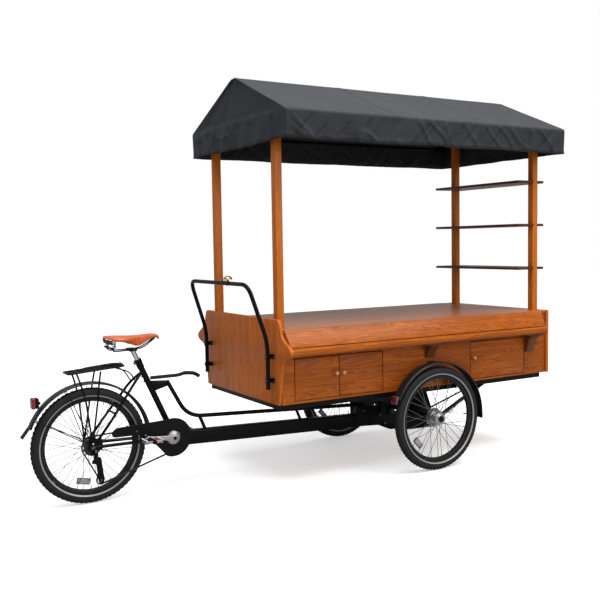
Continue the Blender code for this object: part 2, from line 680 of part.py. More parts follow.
def sidePanel(side):
    low = floorTop + gap
    high = counterBottom - gap
    lintel = doorTop + running
    first, second, third = doorEdges
    outline = [(insideRear, low)]
    for start, end in ((first[0], second[0]), (third[1], third[0])):
        left, right = start - running, end + running
        outline += [(left, low), (left, lintel), (right, lintel), (right, low)]
    outline += [(insideFront, low), (insideFront, high), (insideRear, high)]
    inner, outer = side * wallInner, side * cabinetHalfWidth
    return extruded(outline, 1, min(inner, outer), max(inner, outer))


def fascia(side):
    back = counterHalf + 3 * gap
    wall = cabinetHalfWidth + gap
    under = ledgeHeight - 0.026
    outline = [
        (back, counterHeight), (counterHalf + 0.022, counterHeight),
        (ledgeHalfWidth - 0.025, ledgeHeight + 0.021), (ledgeHalfWidth, ledgeHeight + 0.009),
        (ledgeHalfWidth, ledgeHeight - 0.006),
        (ledgeHalfWidth - 0.014, under), (wall, under), (wall, under + 0.018),
        (ledgeHalfWidth - 0.039, under + 0.018), (back, counterHeight - 0.021),
    ]
    shapes = [extruded([(side * y, z) for y, z in outline], 0, insideRear, boxFront - 0.125)]
    corbels = ((frontAxle - 0.040, frontAxle + 0.026, 0.118, 0.064),
               (boxFront - 0.205, boxFront - 0.141, 0.150, 0.060))
    top = under + 0.0005
    for left, right, drop, wing in corbels:
        foot = ledgeHeight - drop
        stem = [(wall, foot), (wall + 0.018, foot), (wall + 0.026, foot + 0.030), (wall + 0.050, top - 0.030),
                (wall + 0.085, top - 0.018), (wall + 0.085, top), (wall, top)]
        shapes.append(extruded([(side * y, z) for y, z in stem], 0, left, right))
        cap = [(left - wing, top), (left - wing, top - 0.010), (left + 0.004, top - 0.022),
               (right - 0.004, top - 0.022), (right + wing, top - 0.010), (right + wing, top)]
        y0, y1 = side * (wall + 0.001), side * (wall + 0.080)
        shapes.append(extruded(cap, 1, min(y0, y1), max(y0, y1)))
    return shapes


def door(side, hinge, free, knobX):
    low, high = min(hinge, free), max(hinge, free)
    inner, outer = side * wallInner, side * cabinetHalfWidth
    leaf = block((low, min(inner, outer), doorBottom), (high, max(inner, outer), doorTop))
    knob = [(0.0060, -0.003), (0.0055, 0.012), (0.0115, 0.016), (0.0115, 0.024), (0.0070, 0.0275)]
    bm = bmesh.new()
    rings = []
    for a in (math.tau * k / 12 for k in range(12)):
        rings.append([bm.verts.new((knobX + r * math.cos(a), outer + side * y, knobHeight + r * math.sin(a)))
                      for r, y in knob])
    for k in range(12):
        first, second = rings[k], rings[(k + 1) % 12]
        for i in range(len(first) - 1):
            bm.faces.new((first[i], first[i + 1], second[i + 1], second[i]))
    bm.faces.new([ring[0] for ring in rings])
    bm.faces.new([ring[-1] for ring in rings])
    return [leaf, bm]


for side, label in ((-1, "right"), (1, "left")):
    piece(f"side_panel_{label}", woodFinish, [sidePanel(side)])
    piece(f"fascia_{label}", woodFinish, fascia(side))
    for number, (hinge, free) in enumerate(doorEdges):
        inset = 0.025 if free > hinge else -0.018
        piece(f"door_{number + 1}_{label}", woodFinish, door(side, hinge, free, free - inset))


# ---- canopy and shelves -------------------------------------------------------------------
half = postSide / 2
slope = (ridgeHeight - eaveHeight) / canopyHalfWidth
clothUnder = ridgeHeight - clothThickness / math.cos(math.atan(slope))


railBack, railFront = canopyRear + 0.020, canopyFront - 0.020
canopyShapes = []
for x in (postRearX, postFrontX):
    for y in (-postHalfSpacing, postHalfSpacing):
        canopyShapes.append(block((x - half, y - half, floorTop + gap), (x + half, y + half, frameTop)))
for y in (-postHalfSpacing, postHalfSpacing):
    canopyShapes.append(block((railBack, y - 0.015, frameTop - 0.050),
                              (railFront, y + 0.015, frameTop - 0.004)))
for x in (postRearX, postFrontX):
    canopyShapes.append(block((x - 0.014, -postHalfSpacing, frameTop - 0.049),
                             (x + 0.014, postHalfSpacing, frameTop - 0.006)))
    rafterTop = clothUnder - 0.0225
    edge = canopyHalfWidth - 0.020
    for foot in (-edge, edge):
        canopyShapes.append(swept([(x, foot, rafterTop - slope * edge), (x, 0, rafterTop)],
                                  rectangle(0.026, 0.028)))
    canopyShapes.append(block((x - 0.012, -0.014, frameTop - 0.040), (x + 0.012, 0.014, rafterTop)))
canopyShapes.append(block((railBack, -0.011, rafterTop - 0.034), (railFront, 0.011, rafterTop + 0.004)))
for side in (-1, 1):
    z = rafterTop - slope * edge
    canopyShapes.append(tube([(railBack, side * edge, z), (railFront, side * edge, z)], 0.0085, 8))
piece("canopy_frame", woodFinish, canopyShapes)

outer = [(-canopyHalfWidth, valanceBottom), (canopyHalfWidth, valanceBottom), (canopyHalfWidth, eaveHeight),
         (0.0, ridgeHeight), (-canopyHalfWidth, eaveHeight)]
inside = canopyHalfWidth - clothThickness
below = valanceBottom - 0.050
room = [(-inside, below), (inside, below), (inside, clothUnder - slope * inside), (0.0, clothUnder),
        (-inside, clothUnder - slope * inside)]
piece("canopy_cloth", clothFinish, [extruded(outer, 0, canopyRear, canopyFront)],
      [extruded(room, 0, canopyRear + clothThickness, canopyFront - clothThickness)], angle=20)

shelfBack = postFrontX - shelfBehind
shelfFront = shelfBack + shelfDepth
shelfHalf = postHalfSpacing + 0.030
notch = postHalfSpacing - half - gap
for number, height in enumerate(shelfHeights):
    corner = [(shelfBack, shelfHalf), (postFrontX - half - gap, shelfHalf), (postFrontX - half - gap, notch),
              (postFrontX + half + gap, notch), (postFrontX + half + gap, shelfHalf), (shelfFront, shelfHalf)]
    outline = corner + [(x, -y) for x, y in reversed(corner)]
    piece(f"shelf_{number + 1}", darkWood, [extruded(outline, 2, height - 0.008, height + 0.008)])
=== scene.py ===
import itertools
import math

import bmesh
import bpy
from mathutils import Matrix, Vector, noise


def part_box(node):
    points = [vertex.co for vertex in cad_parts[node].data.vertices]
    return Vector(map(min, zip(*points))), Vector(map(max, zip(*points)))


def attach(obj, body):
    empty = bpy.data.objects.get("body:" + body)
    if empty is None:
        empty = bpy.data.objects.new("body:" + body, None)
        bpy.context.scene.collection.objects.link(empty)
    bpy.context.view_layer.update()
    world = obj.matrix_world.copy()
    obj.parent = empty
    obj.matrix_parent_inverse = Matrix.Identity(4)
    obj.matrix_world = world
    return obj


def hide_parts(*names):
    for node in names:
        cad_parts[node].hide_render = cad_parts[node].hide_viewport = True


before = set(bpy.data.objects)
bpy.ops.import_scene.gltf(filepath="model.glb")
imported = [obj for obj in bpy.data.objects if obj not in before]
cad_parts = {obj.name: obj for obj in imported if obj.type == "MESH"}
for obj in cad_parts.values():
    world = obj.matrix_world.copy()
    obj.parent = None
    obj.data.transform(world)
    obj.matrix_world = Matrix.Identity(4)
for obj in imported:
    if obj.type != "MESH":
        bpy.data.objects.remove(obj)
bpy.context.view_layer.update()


# where things are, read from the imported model
def middle(node):
    low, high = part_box(node)
    return (low + high) / 2


rearWheel = middle("rear_tyre")
wheelRadius = rearWheel.z
frontWheel = {"right": middle("front_tyre_right"), "left": middle("front_tyre_left")}
frontAxle = frontWheel["right"].x
bracket = middle("crankset")
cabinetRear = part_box("rear_end_panel")[0].x
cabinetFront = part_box("front_end_panel")[1].x
cabinetBottom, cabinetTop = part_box("rear_end_panel")[0].z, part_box("rear_end_panel")[1].z
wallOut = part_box("side_panel_left")[1].y
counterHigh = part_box("counter_top")[1]
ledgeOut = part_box("fascia_left")[1].y
canopyLow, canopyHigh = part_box("canopy_cloth")
saddleLow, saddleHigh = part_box("saddle_cover")


# mesh helpers
serials = itertools.count(1)


def mark(bm):
    # numbers the faces made so far, so that the ones made after this call can be found
    layer = bm.faces.layers.int.get("made") or bm.faces.layers.int.new("made")
    number = next(serials)
    for face in bm.faces:
        if face[layer] == 0:
            face[layer] = number
    return number


def newFaces(bm, start):
    layer = bm.faces.layers.int["made"]
    return [face for face in bm.faces if face[layer] == 0 or face[layer] > start]


def newVerts(bm, start):
    return list(dict.fromkeys(vert for face in newFaces(bm, start) for vert in face.verts))


def paintFaces(bm, start, slot):
    for face in newFaces(bm, start):
        face.material_index = slot


def roundEdges(bm, edges, width, segments=2):
    bmesh.ops.bevel(bm, geom=list(edges), offset=width, offset_type="OFFSET", segments=segments,
                    profile=0.5, affect="EDGES", clamp_overlap=True, material=-1)


def sharpEdges(bm, start, angle=32):
    faces = newFaces(bm, start)
    bmesh.ops.recalc_face_normals(bm, faces=faces)
    edges = dict.fromkeys(edge for face in faces for edge in face.edges)
    return [e for e in edges if e.calc_face_angle(0.0) > math.radians(angle)]


def board(bm, low, high, edge=0.002, segments=2, slot=0):
    # an upright plank or block between any two opposite corners, its edges eased
    low, high = (Vector([pick(pair) for pair in zip(low, high)]) for pick in (min, max))
    start = mark(bm)
    size = Matrix.Diagonal((*(high - low), 1.0))
    made = bmesh.ops.create_cube(bm, size=1.0, matrix=Matrix.Translation((low + high) / 2) @ size)
    if edge:
        roundEdges(bm, dict.fromkeys(e for v in made["verts"] for e in v.link_edges), edge, segments)
    paintFaces(bm, start, slot)


def plate(bm, outline, axis, low, high, edge=0.0, segments=2, slot=0, angle=32):
    # a flat outline of pairs given a thickness along one axis
    others = [i for i in range(3) if i != axis]
    low, high = sorted((low, high))
    start = mark(bm)
    ring = []
    for pair in outline:
        spot = Vector((0.0, 0.0, 0.0))
        spot[axis] = low
        spot[others[0]], spot[others[1]] = pair
        ring.append(bm.verts.new(spot))
    grown = bmesh.ops.extrude_face_region(bm, geom=[bm.faces.new(ring)])
    shift = Vector((0.0, 0.0, 0.0))
    shift[axis] = high - low
    bmesh.ops.translate(bm, vec=shift, verts=[g for g in grown["geom"] if isinstance(g, bmesh.types.BMVert)])
    if edge:
        roundEdges(bm, sharpEdges(bm, start, angle), edge, segments)
    paintFaces(bm, start, slot)


def steps(path):
    # one matrix for each point of a path, its Z along the path, turning as little as it can
    path = [Vector(p) for p in path]
    ways = [(b - a).normalized() for a, b in zip(path, path[1:])]
    side = ways[0].orthogonal().normalized()
    made = []
    for i, here in enumerate(path):
        along = (ways[max(i - 1, 0)] + ways[min(i, len(ways) - 1)]).normalized()
        side = (side - along * side.dot(along)).normalized()
        up = along.cross(side)
        turn = Matrix((side, up, along)).transposed().to_4x4()
        made.append(Matrix.Translation(here) @ turn)
    return made


def tube(bm, path, radius, sides=14, slot=0):
    # a round bar along a path, closed at both ends; radius is one number or one for each point
    start = mark(bm)
    frames = steps(path)
    sizes = radius if hasattr(radius, "__len__") else [radius] * len(frames)
    ring = bmesh.ops.create_circle(bm, cap_ends=True, segments=sides, radius=1.0,
                                   matrix=frames[0] @ Matrix.Scale(sizes[0], 4))
    face = ring["verts"][0].link_faces[0]
    for k in range(1, len(frames)):
        behind = face
        grown = bmesh.ops.extrude_face_region(bm, geom=[face])
        face = next(g for g in grown["geom"] if isinstance(g, bmesh.types.BMFace))
        if k > 1 and behind.is_valid:
            bmesh.ops.delete(bm, geom=[behind], context="FACES_ONLY")
        move = frames[k] @ Matrix.Scale(sizes[k] / sizes[k - 1], 4) @ frames[k - 1].inverted()
        bmesh.ops.transform(bm, matrix=move, verts=face.verts)
    paintFaces(bm, start, slot)


def curved(points, reach, count=5):
    # the same path with every inner corner turned into a curve
    path = [Vector(p) for p in points]
    made = [path[0]]
    for before, corner, after in zip(path, path[1:], path[2:]):
        size = min(reach, (corner - before).length * 0.48, (after - corner).length * 0.48)
        a = corner + (before - corner).normalized() * size
        b = corner + (after - corner).normalized() * size
        for k in range(count + 1):
            t = k / count
            made.append(a * (1 - t) ** 2 + corner * 2 * t * (1 - t) + b * t ** 2)
    made.append(path[-1])
    return made


def through(points, count=4):
    # a smooth line through every point of an outline
    pts = [Vector(p) for p in points]
    made = []
    for i in range(len(pts) - 1):
        a, b, c, d = pts[max(i - 1, 0)], pts[i], pts[i + 1], pts[min(i + 2, len(pts) - 1)]
        for k in range(count):
            t = k / count
            made.append(0.5 * ((2 * b) + (c - a) * t + (2 * a - 5 * b + 4 * c - d) * t ** 2
                               + (3 * b - a - 3 * c + d) * t ** 3))
    made.append(pts[-1])
    return made


sideways = {0: Vector((0, 1, 0)), 1: Vector((1, 0, 0)), 2: Vector((1, 0, 0))}


def turned(bm, profile, centre, axis=1, count=48, start=0.0, sweep=360.0, closed=True, slot=0):
    # a section of (radius, along) pairs spun round an axis; angles run from +X to +Z round Y
    first = mark(bm)
    way = Vector((0.0, 0.0, 0.0))
    way[axis] = 1.0
    side = sideways[axis].copy()
    side.rotate(Matrix.Rotation(math.radians(-start if axis == 1 else start), 3, way))
    centre = Vector(centre)
    ring = [bm.verts.new(centre + side * r + way * a) for r, a in profile]
    edges = [bm.edges.new(pair) for pair in zip(ring, ring[1:])]
    if closed:
        edges.append(bm.edges.new((ring[-1], ring[0])))
    whole = sweep > 359.9
    spin = -math.radians(sweep) if axis == 1 else math.radians(sweep)
    bmesh.ops.spin(bm, geom=ring + edges, cent=centre, axis=way, angle=spin, steps=count,
                   use_merge=whole, use_duplicate=False)
    if not whole and closed:
        caps = [e for e in bm.edges if e.is_boundary and e.verts[0].link_faces]
        bmesh.ops.holes_fill(bm, edges=caps, sides=0)
    paintFaces(bm, first, slot)


def rod(bm, centre, radius, low, high, axis=1, sides=20, edge=0.0008, slot=0):
    # a round bar along one axis with its two rims eased
    low, high = sorted((low, high))
    e = min(edge, radius * 0.4, (high - low) * 0.3)
    profile = [(0.0, low), (radius - e, low), (radius, low + e), (radius, high - e), (radius - e, high), (0.0, high)]
    spot = Vector(centre)
    spot[axis] = 0.0
    turned(bm, profile, spot, axis, sides, closed=False, slot=slot)


def around(bm, start, centre, count, axis=1):
    # repeats the shapes made since start round an axis
    way = Vector((0.0, 0.0, 0.0))
    way[axis] = 1.0
    faces = newFaces(bm, start)
    parts = [*faces, *(e for f in faces for e in f.edges), *(v for f in faces for v in f.verts)]
    geom = list(dict.fromkeys(parts))
    bmesh.ops.spin(bm, geom=geom, cent=centre, axis=way, angle=math.tau * (count - 1) / count,
                   steps=count - 1, use_duplicate=True)


def finish(name, bm, finishes, body, stands=(), angle=35, merge=1e-6):
    bmesh.ops.remove_doubles(bm, verts=bm.verts, dist=merge)
    bmesh.ops.recalc_face_normals(bm, faces=bm.faces)
    if bm.faces.layers.int.get("made"):
        bm.faces.layers.int.remove(bm.faces.layers.int["made"])
    mesh = bpy.data.meshes.new(name)
    bm.to_mesh(mesh)
    bm.free()
    made = bpy.data.objects.new(name, mesh)
    bpy.context.scene.collection.objects.link(made)
    for one in finishes:
        mesh.materials.append(one)
    mesh.shade_smooth()
    mesh.set_sharp_from_angle(angle=math.radians(angle))
    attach(made, body)
    if stands:
        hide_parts(*stands)
    return made


# material helpers
def put(tree, kind, **settings):
    node = tree.nodes.new(kind)
    for name, value in settings.items():
        if name[0].isupper():
            node.inputs[name.replace("_", " ")].default_value = value
        else:
            setattr(node, name, value)
    return node


def join(tree, source, output, target, entry):
    tree.links.new(source.outputs[output], target.inputs[entry])


def newGroup(name, entries, results):
    tree = bpy.data.node_groups.new(name, "ShaderNodeTree")
    for label, kind, value in entries:
        socket = tree.interface.new_socket(label, in_out="INPUT", socket_type=kind)
        if value is not None:
            socket.default_value = value
    for label, kind in results:
        tree.interface.new_socket(label, in_out="OUTPUT", socket_type=kind)
    return tree, tree.nodes.new("NodeGroupInput"), tree.nodes.new("NodeGroupOutput")


def calc(tree, operation, a, b=None, c=None):
    # one Math node; each of a, b, c is a number or a (node, output) pair
    node = tree.nodes.new("ShaderNodeMath")
    node.operation = operation
    for k, value in enumerate((a, b, c)):
        if isinstance(value, tuple):
            tree.links.new(value[0].outputs[value[1]], node.inputs[k])
        elif value is not None:
            node.inputs[k].default_value = value
    return node, 0


def blendColour(tree, factor, a, b, kind="MIX"):
    # one colour Mix node; factor, a and b are values or (node, output) pairs
    node = tree.nodes.new("ShaderNodeMix")
    node.data_type = "RGBA"
    node.blend_type = kind
    for k, value in ((0, factor), (6, a), (7, b)):
        if isinstance(value, tuple) and isinstance(value[0], bpy.types.Node):
            tree.links.new(value[0].outputs[value[1]], node.inputs[k])
        else:
            node.inputs[k].default_value = value
    return node, 2


def remap(tree, value, fromLow, fromHigh, toLow, toHigh):
    node = put(tree, "ShaderNodeMapRange", From_Min=fromLow, From_Max=fromHigh, To_Min=toLow, To_Max=toHigh)
    tree.links.new(value[0].outputs[value[1]], node.inputs["Value"])
    return node, 0


# shader groups, each used by several finishes
def grainGroup():
    # long figure, fine streaks and pores along X of the vector it is given
    entries = [("Vector", "NodeSocketVector", None), ("Light", "NodeSocketColor", (0.5, 0.2, 0.05, 1)),
               ("Dark", "NodeSocketColor", (0.2, 0.06, 0.02, 1)), ("Figure", "NodeSocketFloat", 0.5),
               ("Gloss", "NodeSocketFloat", 0.3)]
    results = [("Colour", "NodeSocketColor"), ("Roughness", "NodeSocketFloat"), ("Height", "NodeSocketFloat")]
    tree, before, after = newGroup("woodGrain", entries, results)
    long = put(tree, "ShaderNodeMapping", Scale=(1.0, 9.0, 9.0))
    join(tree, before, "Vector", long, "Vector")
    drift = put(tree, "ShaderNodeTexNoise", Scale=1.6, Detail=3.0, Roughness=0.5)
    join(tree, long, "Vector", drift, "Vector")
    bend = put(tree, "ShaderNodeVectorMath", operation="SCALE", Scale=0.16)
    tree.links.new(drift.outputs["Color"], bend.inputs[0])
    moved = put(tree, "ShaderNodeVectorMath", operation="ADD")
    join(tree, before, "Vector", moved, 0)
    join(tree, bend, "Vector", moved, 1)
    squeezed = put(tree, "ShaderNodeMapping", Scale=(0.16, 1.0, 1.0))
    join(tree, moved, "Vector", squeezed, "Vector")
    rings = put(tree, "ShaderNodeTexWave", wave_type="RINGS", rings_direction="X", wave_profile="SAW",
                Scale=26.0, Distortion=2.2, Detail=2.5, Detail_Scale=0.9)
    join(tree, squeezed, "Vector", rings, "Vector")
    streaks = put(tree, "ShaderNodeTexNoise", Scale=34.0, Detail=7.0, Roughness=0.62)
    thin = put(tree, "ShaderNodeMapping", Scale=(0.055, 1.0, 1.0))
    join(tree, moved, "Vector", thin, "Vector")
    join(tree, thin, "Vector", streaks, "Vector")
    pores = put(tree, "ShaderNodeTexNoise", Scale=420.0, Detail=2.0, Roughness=0.5)
    short = put(tree, "ShaderNodeMapping", Scale=(0.045, 1.0, 1.0))
    join(tree, before, "Vector", short, "Vector")
    join(tree, short, "Vector", pores, "Vector")
    boards = put(tree, "ShaderNodeTexNoise", Scale=0.9, Detail=1.0)
    join(tree, before, "Vector", boards, "Vector")
    figure = calc(tree, "MULTIPLY", (rings, "Fac"), (before, "Figure"))
    streak = remap(tree, (streaks, "Fac"), 0.34, 0.68, 0.0, 1.0)
    mixed = calc(tree, "MULTIPLY_ADD", streak, 0.62, figure)
    broad = remap(tree, (boards, "Fac"), 0.35, 0.65, -0.14, 0.14)
    summed = calc(tree, "ADD", mixed, broad)
    clamped = put(tree, "ShaderNodeClamp")
    tree.links.new(summed[0].outputs[0], clamped.inputs["Value"])
    base = blendColour(tree, (clamped, "Result"), (before, "Light"), (before, "Dark"))
    dots = remap(tree, (pores, "Fac"), 0.60, 0.72, 0.0, 0.55)
    colour = blendColour(tree, dots, base, (before, "Dark"))
    tree.links.new(colour[0].outputs[colour[1]], after.inputs["Colour"])
    rough = calc(tree, "MULTIPLY_ADD", dots, 0.35, (before, "Gloss"))
    rough2 = calc(tree, "MULTIPLY_ADD", streak, 0.06, rough)
    tree.links.new(rough2[0].outputs[0], after.inputs["Roughness"])
    height = calc(tree, "MULTIPLY_ADD", dots, -0.8, calc(tree, "MULTIPLY", streak, -0.25))
    tree.links.new(height[0].outputs[0], after.inputs["Height"])
    return tree


def surfaceGroup():
    # small colour drift, roughness drift and a fine bump for paint, plastic, rubber and metal
    entries = [("Vector", "NodeSocketVector", None), ("Base", "NodeSocketColor", (0.02, 0.02, 0.02, 1)),
               ("Worn", "NodeSocketColor", (0.05, 0.05, 0.05, 1)), ("Wear", "NodeSocketFloat", 0.2),
               ("Grain size", "NodeSocketFloat", 300.0), ("Gloss", "NodeSocketFloat", 0.3),
               ("Gloss drift", "NodeSocketFloat", 0.1)]
    results = [("Colour", "NodeSocketColor"), ("Roughness", "NodeSocketFloat"), ("Height", "NodeSocketFloat")]
    tree, before, after = newGroup("surfaceDrift", entries, results)
    broad = put(tree, "ShaderNodeTexNoise", Scale=6.0, Detail=5.0, Roughness=0.6)
    join(tree, before, "Vector", broad, "Vector")
    scuffs = put(tree, "ShaderNodeTexNoise", Scale=45.0, Detail=6.0, Roughness=0.7)
    join(tree, before, "Vector", scuffs, "Vector")
    fine = put(tree, "ShaderNodeTexNoise", Detail=2.0)
    join(tree, before, "Vector", fine, "Vector")
    join(tree, before, "Grain size", fine, "Scale")
    patch = remap(tree, (broad, "Fac"), 0.42, 0.70, 0.0, 1.0)
    speck = remap(tree, (scuffs, "Fac"), 0.48, 0.75, 0.0, 1.0)
    both = calc(tree, "MULTIPLY", calc(tree, "MAXIMUM", patch, speck), (before, "Wear"))
    colour = blendColour(tree, both, (before, "Base"), (before, "Worn"))
    tree.links.new(colour[0].outputs[colour[1]], after.inputs["Colour"])
    drift = calc(tree, "MULTIPLY", calc(tree, "ADD", patch, speck), (before, "Gloss drift"))
    rough = calc(tree, "ADD", drift, (before, "Gloss"))
    tree.links.new(rough[0].outputs[0], after.inputs["Roughness"])
    tree.links.new(fine.outputs["Fac"], after.inputs["Height"])
    return tree


woodGrain = grainGroup()
surfaceDrift = surfaceGroup()


def blankMaterial(name):
    made = bpy.data.materials.new(name)
    made.use_nodes = True
    return made, made.node_tree, made.node_tree.nodes["Principled BSDF"]


def bumpInto(tree, shader, height, strength, distance):
    bump = put(tree, "ShaderNodeBump", Strength=strength, Distance=distance)
    tree.links.new(height[0].outputs[height[1]], bump.inputs["Height"])
    join(tree, bump, "Normal", shader, "Normal")


def woodMaterial(name, along, light, dark, figure=0.60, gloss=0.30, coat=0.04, offset=(0, 0, 0),
                 bump=0.00025, shine=0.16):
    # along is the axis the grain runs on
    made, tree, shader = blankMaterial(name)
    turn = {"x": (0, 0, 0), "y": (0, 0, math.pi / 2), "z": (0, math.pi / 2, 0)}[along]
    place = put(tree, "ShaderNodeTexCoord")
    lay = put(tree, "ShaderNodeMapping", Location=offset, Rotation=turn)
    join(tree, place, "Object", lay, "Vector")
    grain = put(tree, "ShaderNodeGroup", node_tree=woodGrain)
    join(tree, lay, "Vector", grain, "Vector")
    grain.inputs["Light"].default_value = (*light, 1)
    grain.inputs["Dark"].default_value = (*dark, 1)
    grain.inputs["Figure"].default_value = figure
    grain.inputs["Gloss"].default_value = gloss
    join(tree, grain, "Colour", shader, "Base Color")
    join(tree, grain, "Roughness", shader, "Roughness")
    bumpInto(tree, shader, (grain, "Height"), 0.5, bump)
    shader.inputs["Specular IOR Level"].default_value = shine
    shader.inputs["Coat Weight"].default_value = coat
    shader.inputs["Coat Roughness"].default_value = 0.22
    return made


def driftMaterial(name, base, worn, wear=0.2, size=300.0, gloss=0.3, drift=0.08, metallic=0.0, bump=0.00008,
                  coat=0.0, shine=0.5):
    made, tree, shader = blankMaterial(name)
    place = put(tree, "ShaderNodeTexCoord")
    skin = put(tree, "ShaderNodeGroup", node_tree=surfaceDrift)
    join(tree, place, "Object", skin, "Vector")
    skin.inputs["Base"].default_value = (*base, 1)
    skin.inputs["Worn"].default_value = (*worn, 1)
    skin.inputs["Wear"].default_value = wear
    skin.inputs["Grain size"].default_value = size
    skin.inputs["Gloss"].default_value = gloss
    skin.inputs["Gloss drift"].default_value = drift
    join(tree, skin, "Colour", shader, "Base Color")
    join(tree, skin, "Roughness", shader, "Roughness")
    bumpInto(tree, shader, (skin, "Height"), 0.4, bump)
    shader.inputs["Metallic"].default_value = metallic
    shader.inputs["Coat Weight"].default_value = coat
    shader.inputs["Coat Roughness"].default_value = 0.08
    shader.inputs["Specular IOR Level"].default_value = shine
    return made


# honey is the lit wood of the apron and ledge; shaded is a copy for the side panels and doors, its colours set for
# the shade under the ledge: painted shade
honey = ((0.55, 0.142, 0.012), (0.27, 0.058, 0.005))
shaded = ((0.57, 0.145, 0.015), (0.25, 0.054, 0.006))
woodAlong = woodMaterial("honey_wood_long", "x", *honey)
woodSide = woodMaterial("honey_wood_side", "x", *shaded)
woodDoorA = woodMaterial("honey_wood_door_a", "x", *shaded, figure=0.62, offset=(0.4, 0.11, 0.23))
woodDoorB = woodMaterial("honey_wood_door_b", "x", *shaded, figure=0.62, offset=(1.7, 0.07, 0.52))
# end boards: the upright grain is the wood's own, but the colours are brighter than the honey to stand in for light
# the end faces miss: painted light
woodEnd = woodMaterial("honey_wood_end", "z", (0.70, 0.182, 0.024), (0.38, 0.085, 0.011), figure=0.34,
                       offset=(0.2, 0.3, 0))
woodPost = woodMaterial("honey_wood_post", "z", (0.64, 0.180, 0.018), (0.43, 0.105, 0.010), figure=0.25)
woodCounter = woodMaterial("counter_wood", "x", (0.52, 0.185, 0.062), (0.33, 0.098, 0.030), figure=0.5,
                           gloss=0.32, coat=0.10, shine=0.4)
woodShelf = woodMaterial("shelf_wood", "y", (0.155, 0.042, 0.022), (0.06, 0.015, 0.009), figure=0.3, gloss=0.24)
# corbels: a dark brown far below the honey around them, painted shade for where they sit under the ledge
woodCorbelShade = woodMaterial("corbel_wood_painted_shade", "z", (0.19, 0.060, 0.018), (0.10, 0.028, 0.008), figure=0.3)
knobWood = woodMaterial("knob_beech", "y", (0.88, 0.42, 0.19), (0.66, 0.26, 0.10), figure=0.2, gloss=0.2, coat=0.5)

framePaint = driftMaterial("frame_paint", (0.0030, 0.0030, 0.0032), (0.008, 0.008, 0.0085), wear=0.2, size=900,
                           gloss=0.30, drift=0.07, shine=0.14)
guardPlastic = driftMaterial("guard_plastic", (0.0035, 0.0035, 0.0038), (0.009, 0.009, 0.0095), wear=0.25, size=1400,
                             gloss=0.40, drift=0.08, shine=0.15)
fenderPlastic = driftMaterial("fender_plastic", (0.010, 0.011, 0.012), (0.026, 0.027, 0.029), wear=0.3, size=1400,
                              gloss=0.34, drift=0.08, coat=0.05, shine=0.32)
tyreRubber = driftMaterial("tyre_rubber", (0.010, 0.0105, 0.011), (0.030, 0.030, 0.029), wear=0.35, size=700,
                           gloss=0.62, drift=0.12, bump=0.0002, shine=0.3)
sidewallBand = driftMaterial("reflective_band", (0.36, 0.36, 0.35), (0.26, 0.26, 0.25), wear=0.35, size=1500,
                             gloss=0.35, drift=0.1, metallic=0.35)
gripRubber = driftMaterial("grip_rubber", (0.006, 0.006, 0.006), (0.018, 0.018, 0.018), wear=0.3, size=900,
                           gloss=0.55, drift=0.1, bump=0.0002, shine=0.25)
rimPaint = driftMaterial("rim_black", (0.007, 0.007, 0.0075), (0.028, 0.028, 0.03), wear=0.2, size=1200, gloss=0.34,
                         drift=0.08, shine=0.28)
spokeSteel = driftMaterial("spoke_steel", (0.24, 0.24, 0.25), (0.14, 0.14, 0.145), wear=0.3, size=600, gloss=0.25,
                           metallic=1.0)
hubAlloy = driftMaterial("hub_alloy", (0.46, 0.46, 0.47), (0.28, 0.27, 0.26), wear=0.35, size=500, gloss=0.27,
                         metallic=1.0)
crankAlloy = driftMaterial("crank_alloy", (0.50, 0.48, 0.49), (0.33, 0.31, 0.32), wear=0.3, size=700, gloss=0.3,
                           metallic=1.0)
chromeSteel = driftMaterial("polished_steel", (0.74, 0.73, 0.72), (0.55, 0.54, 0.52), wear=0.25, size=500,
                            gloss=0.14, drift=0.06, metallic=1.0)
boltSteel = driftMaterial("bolt_steel", (0.16, 0.16, 0.165), (0.07, 0.07, 0.07), wear=0.5, size=800, gloss=0.32,
                          metallic=1.0)
chainSteel = driftMaterial("chain_steel", (0.085, 0.08, 0.075), (0.03, 0.027, 0.025), wear=0.6, size=900, gloss=0.38,
                           metallic=1.0)
cogSteel = driftMaterial("cog_steel", (0.045, 0.045, 0.047), (0.15, 0.15, 0.15), wear=0.4, size=700, gloss=0.34,
                         metallic=0.9)
brass = driftMaterial("bell_brass", (0.72, 0.53, 0.25), (0.40, 0.27, 0.11), wear=0.45, size=500, gloss=0.2,
                      metallic=1.0)
copperRivet = driftMaterial("rivet_copper", (0.75, 0.42, 0.25), (0.42, 0.2, 0.1), wear=0.4, size=600, gloss=0.25,
                            metallic=1.0)
redLens = driftMaterial("red_lens", (0.26, 0.004, 0.014), (0.14, 0.003, 0.008), wear=0.3, size=260, gloss=0.12,
                        drift=0.05, bump=0.0004, coat=0.6)
amberLens = driftMaterial("amber_lens", (0.75, 0.20, 0.02), (0.45, 0.10, 0.01), wear=0.3, size=260, gloss=0.15,
                          drift=0.05, bump=0.0004, coat=0.5)
clearLens = driftMaterial("clear_reflector", (0.40, 0.40, 0.42), (0.26, 0.26, 0.28), wear=0.3, size=260,
                          gloss=0.15, drift=0.05, metallic=0.3, bump=0.0004)
greyPlastic = driftMaterial("grey_plastic", (0.09, 0.095, 0.10), (0.15, 0.15, 0.155), wear=0.25, size=900, gloss=0.4)


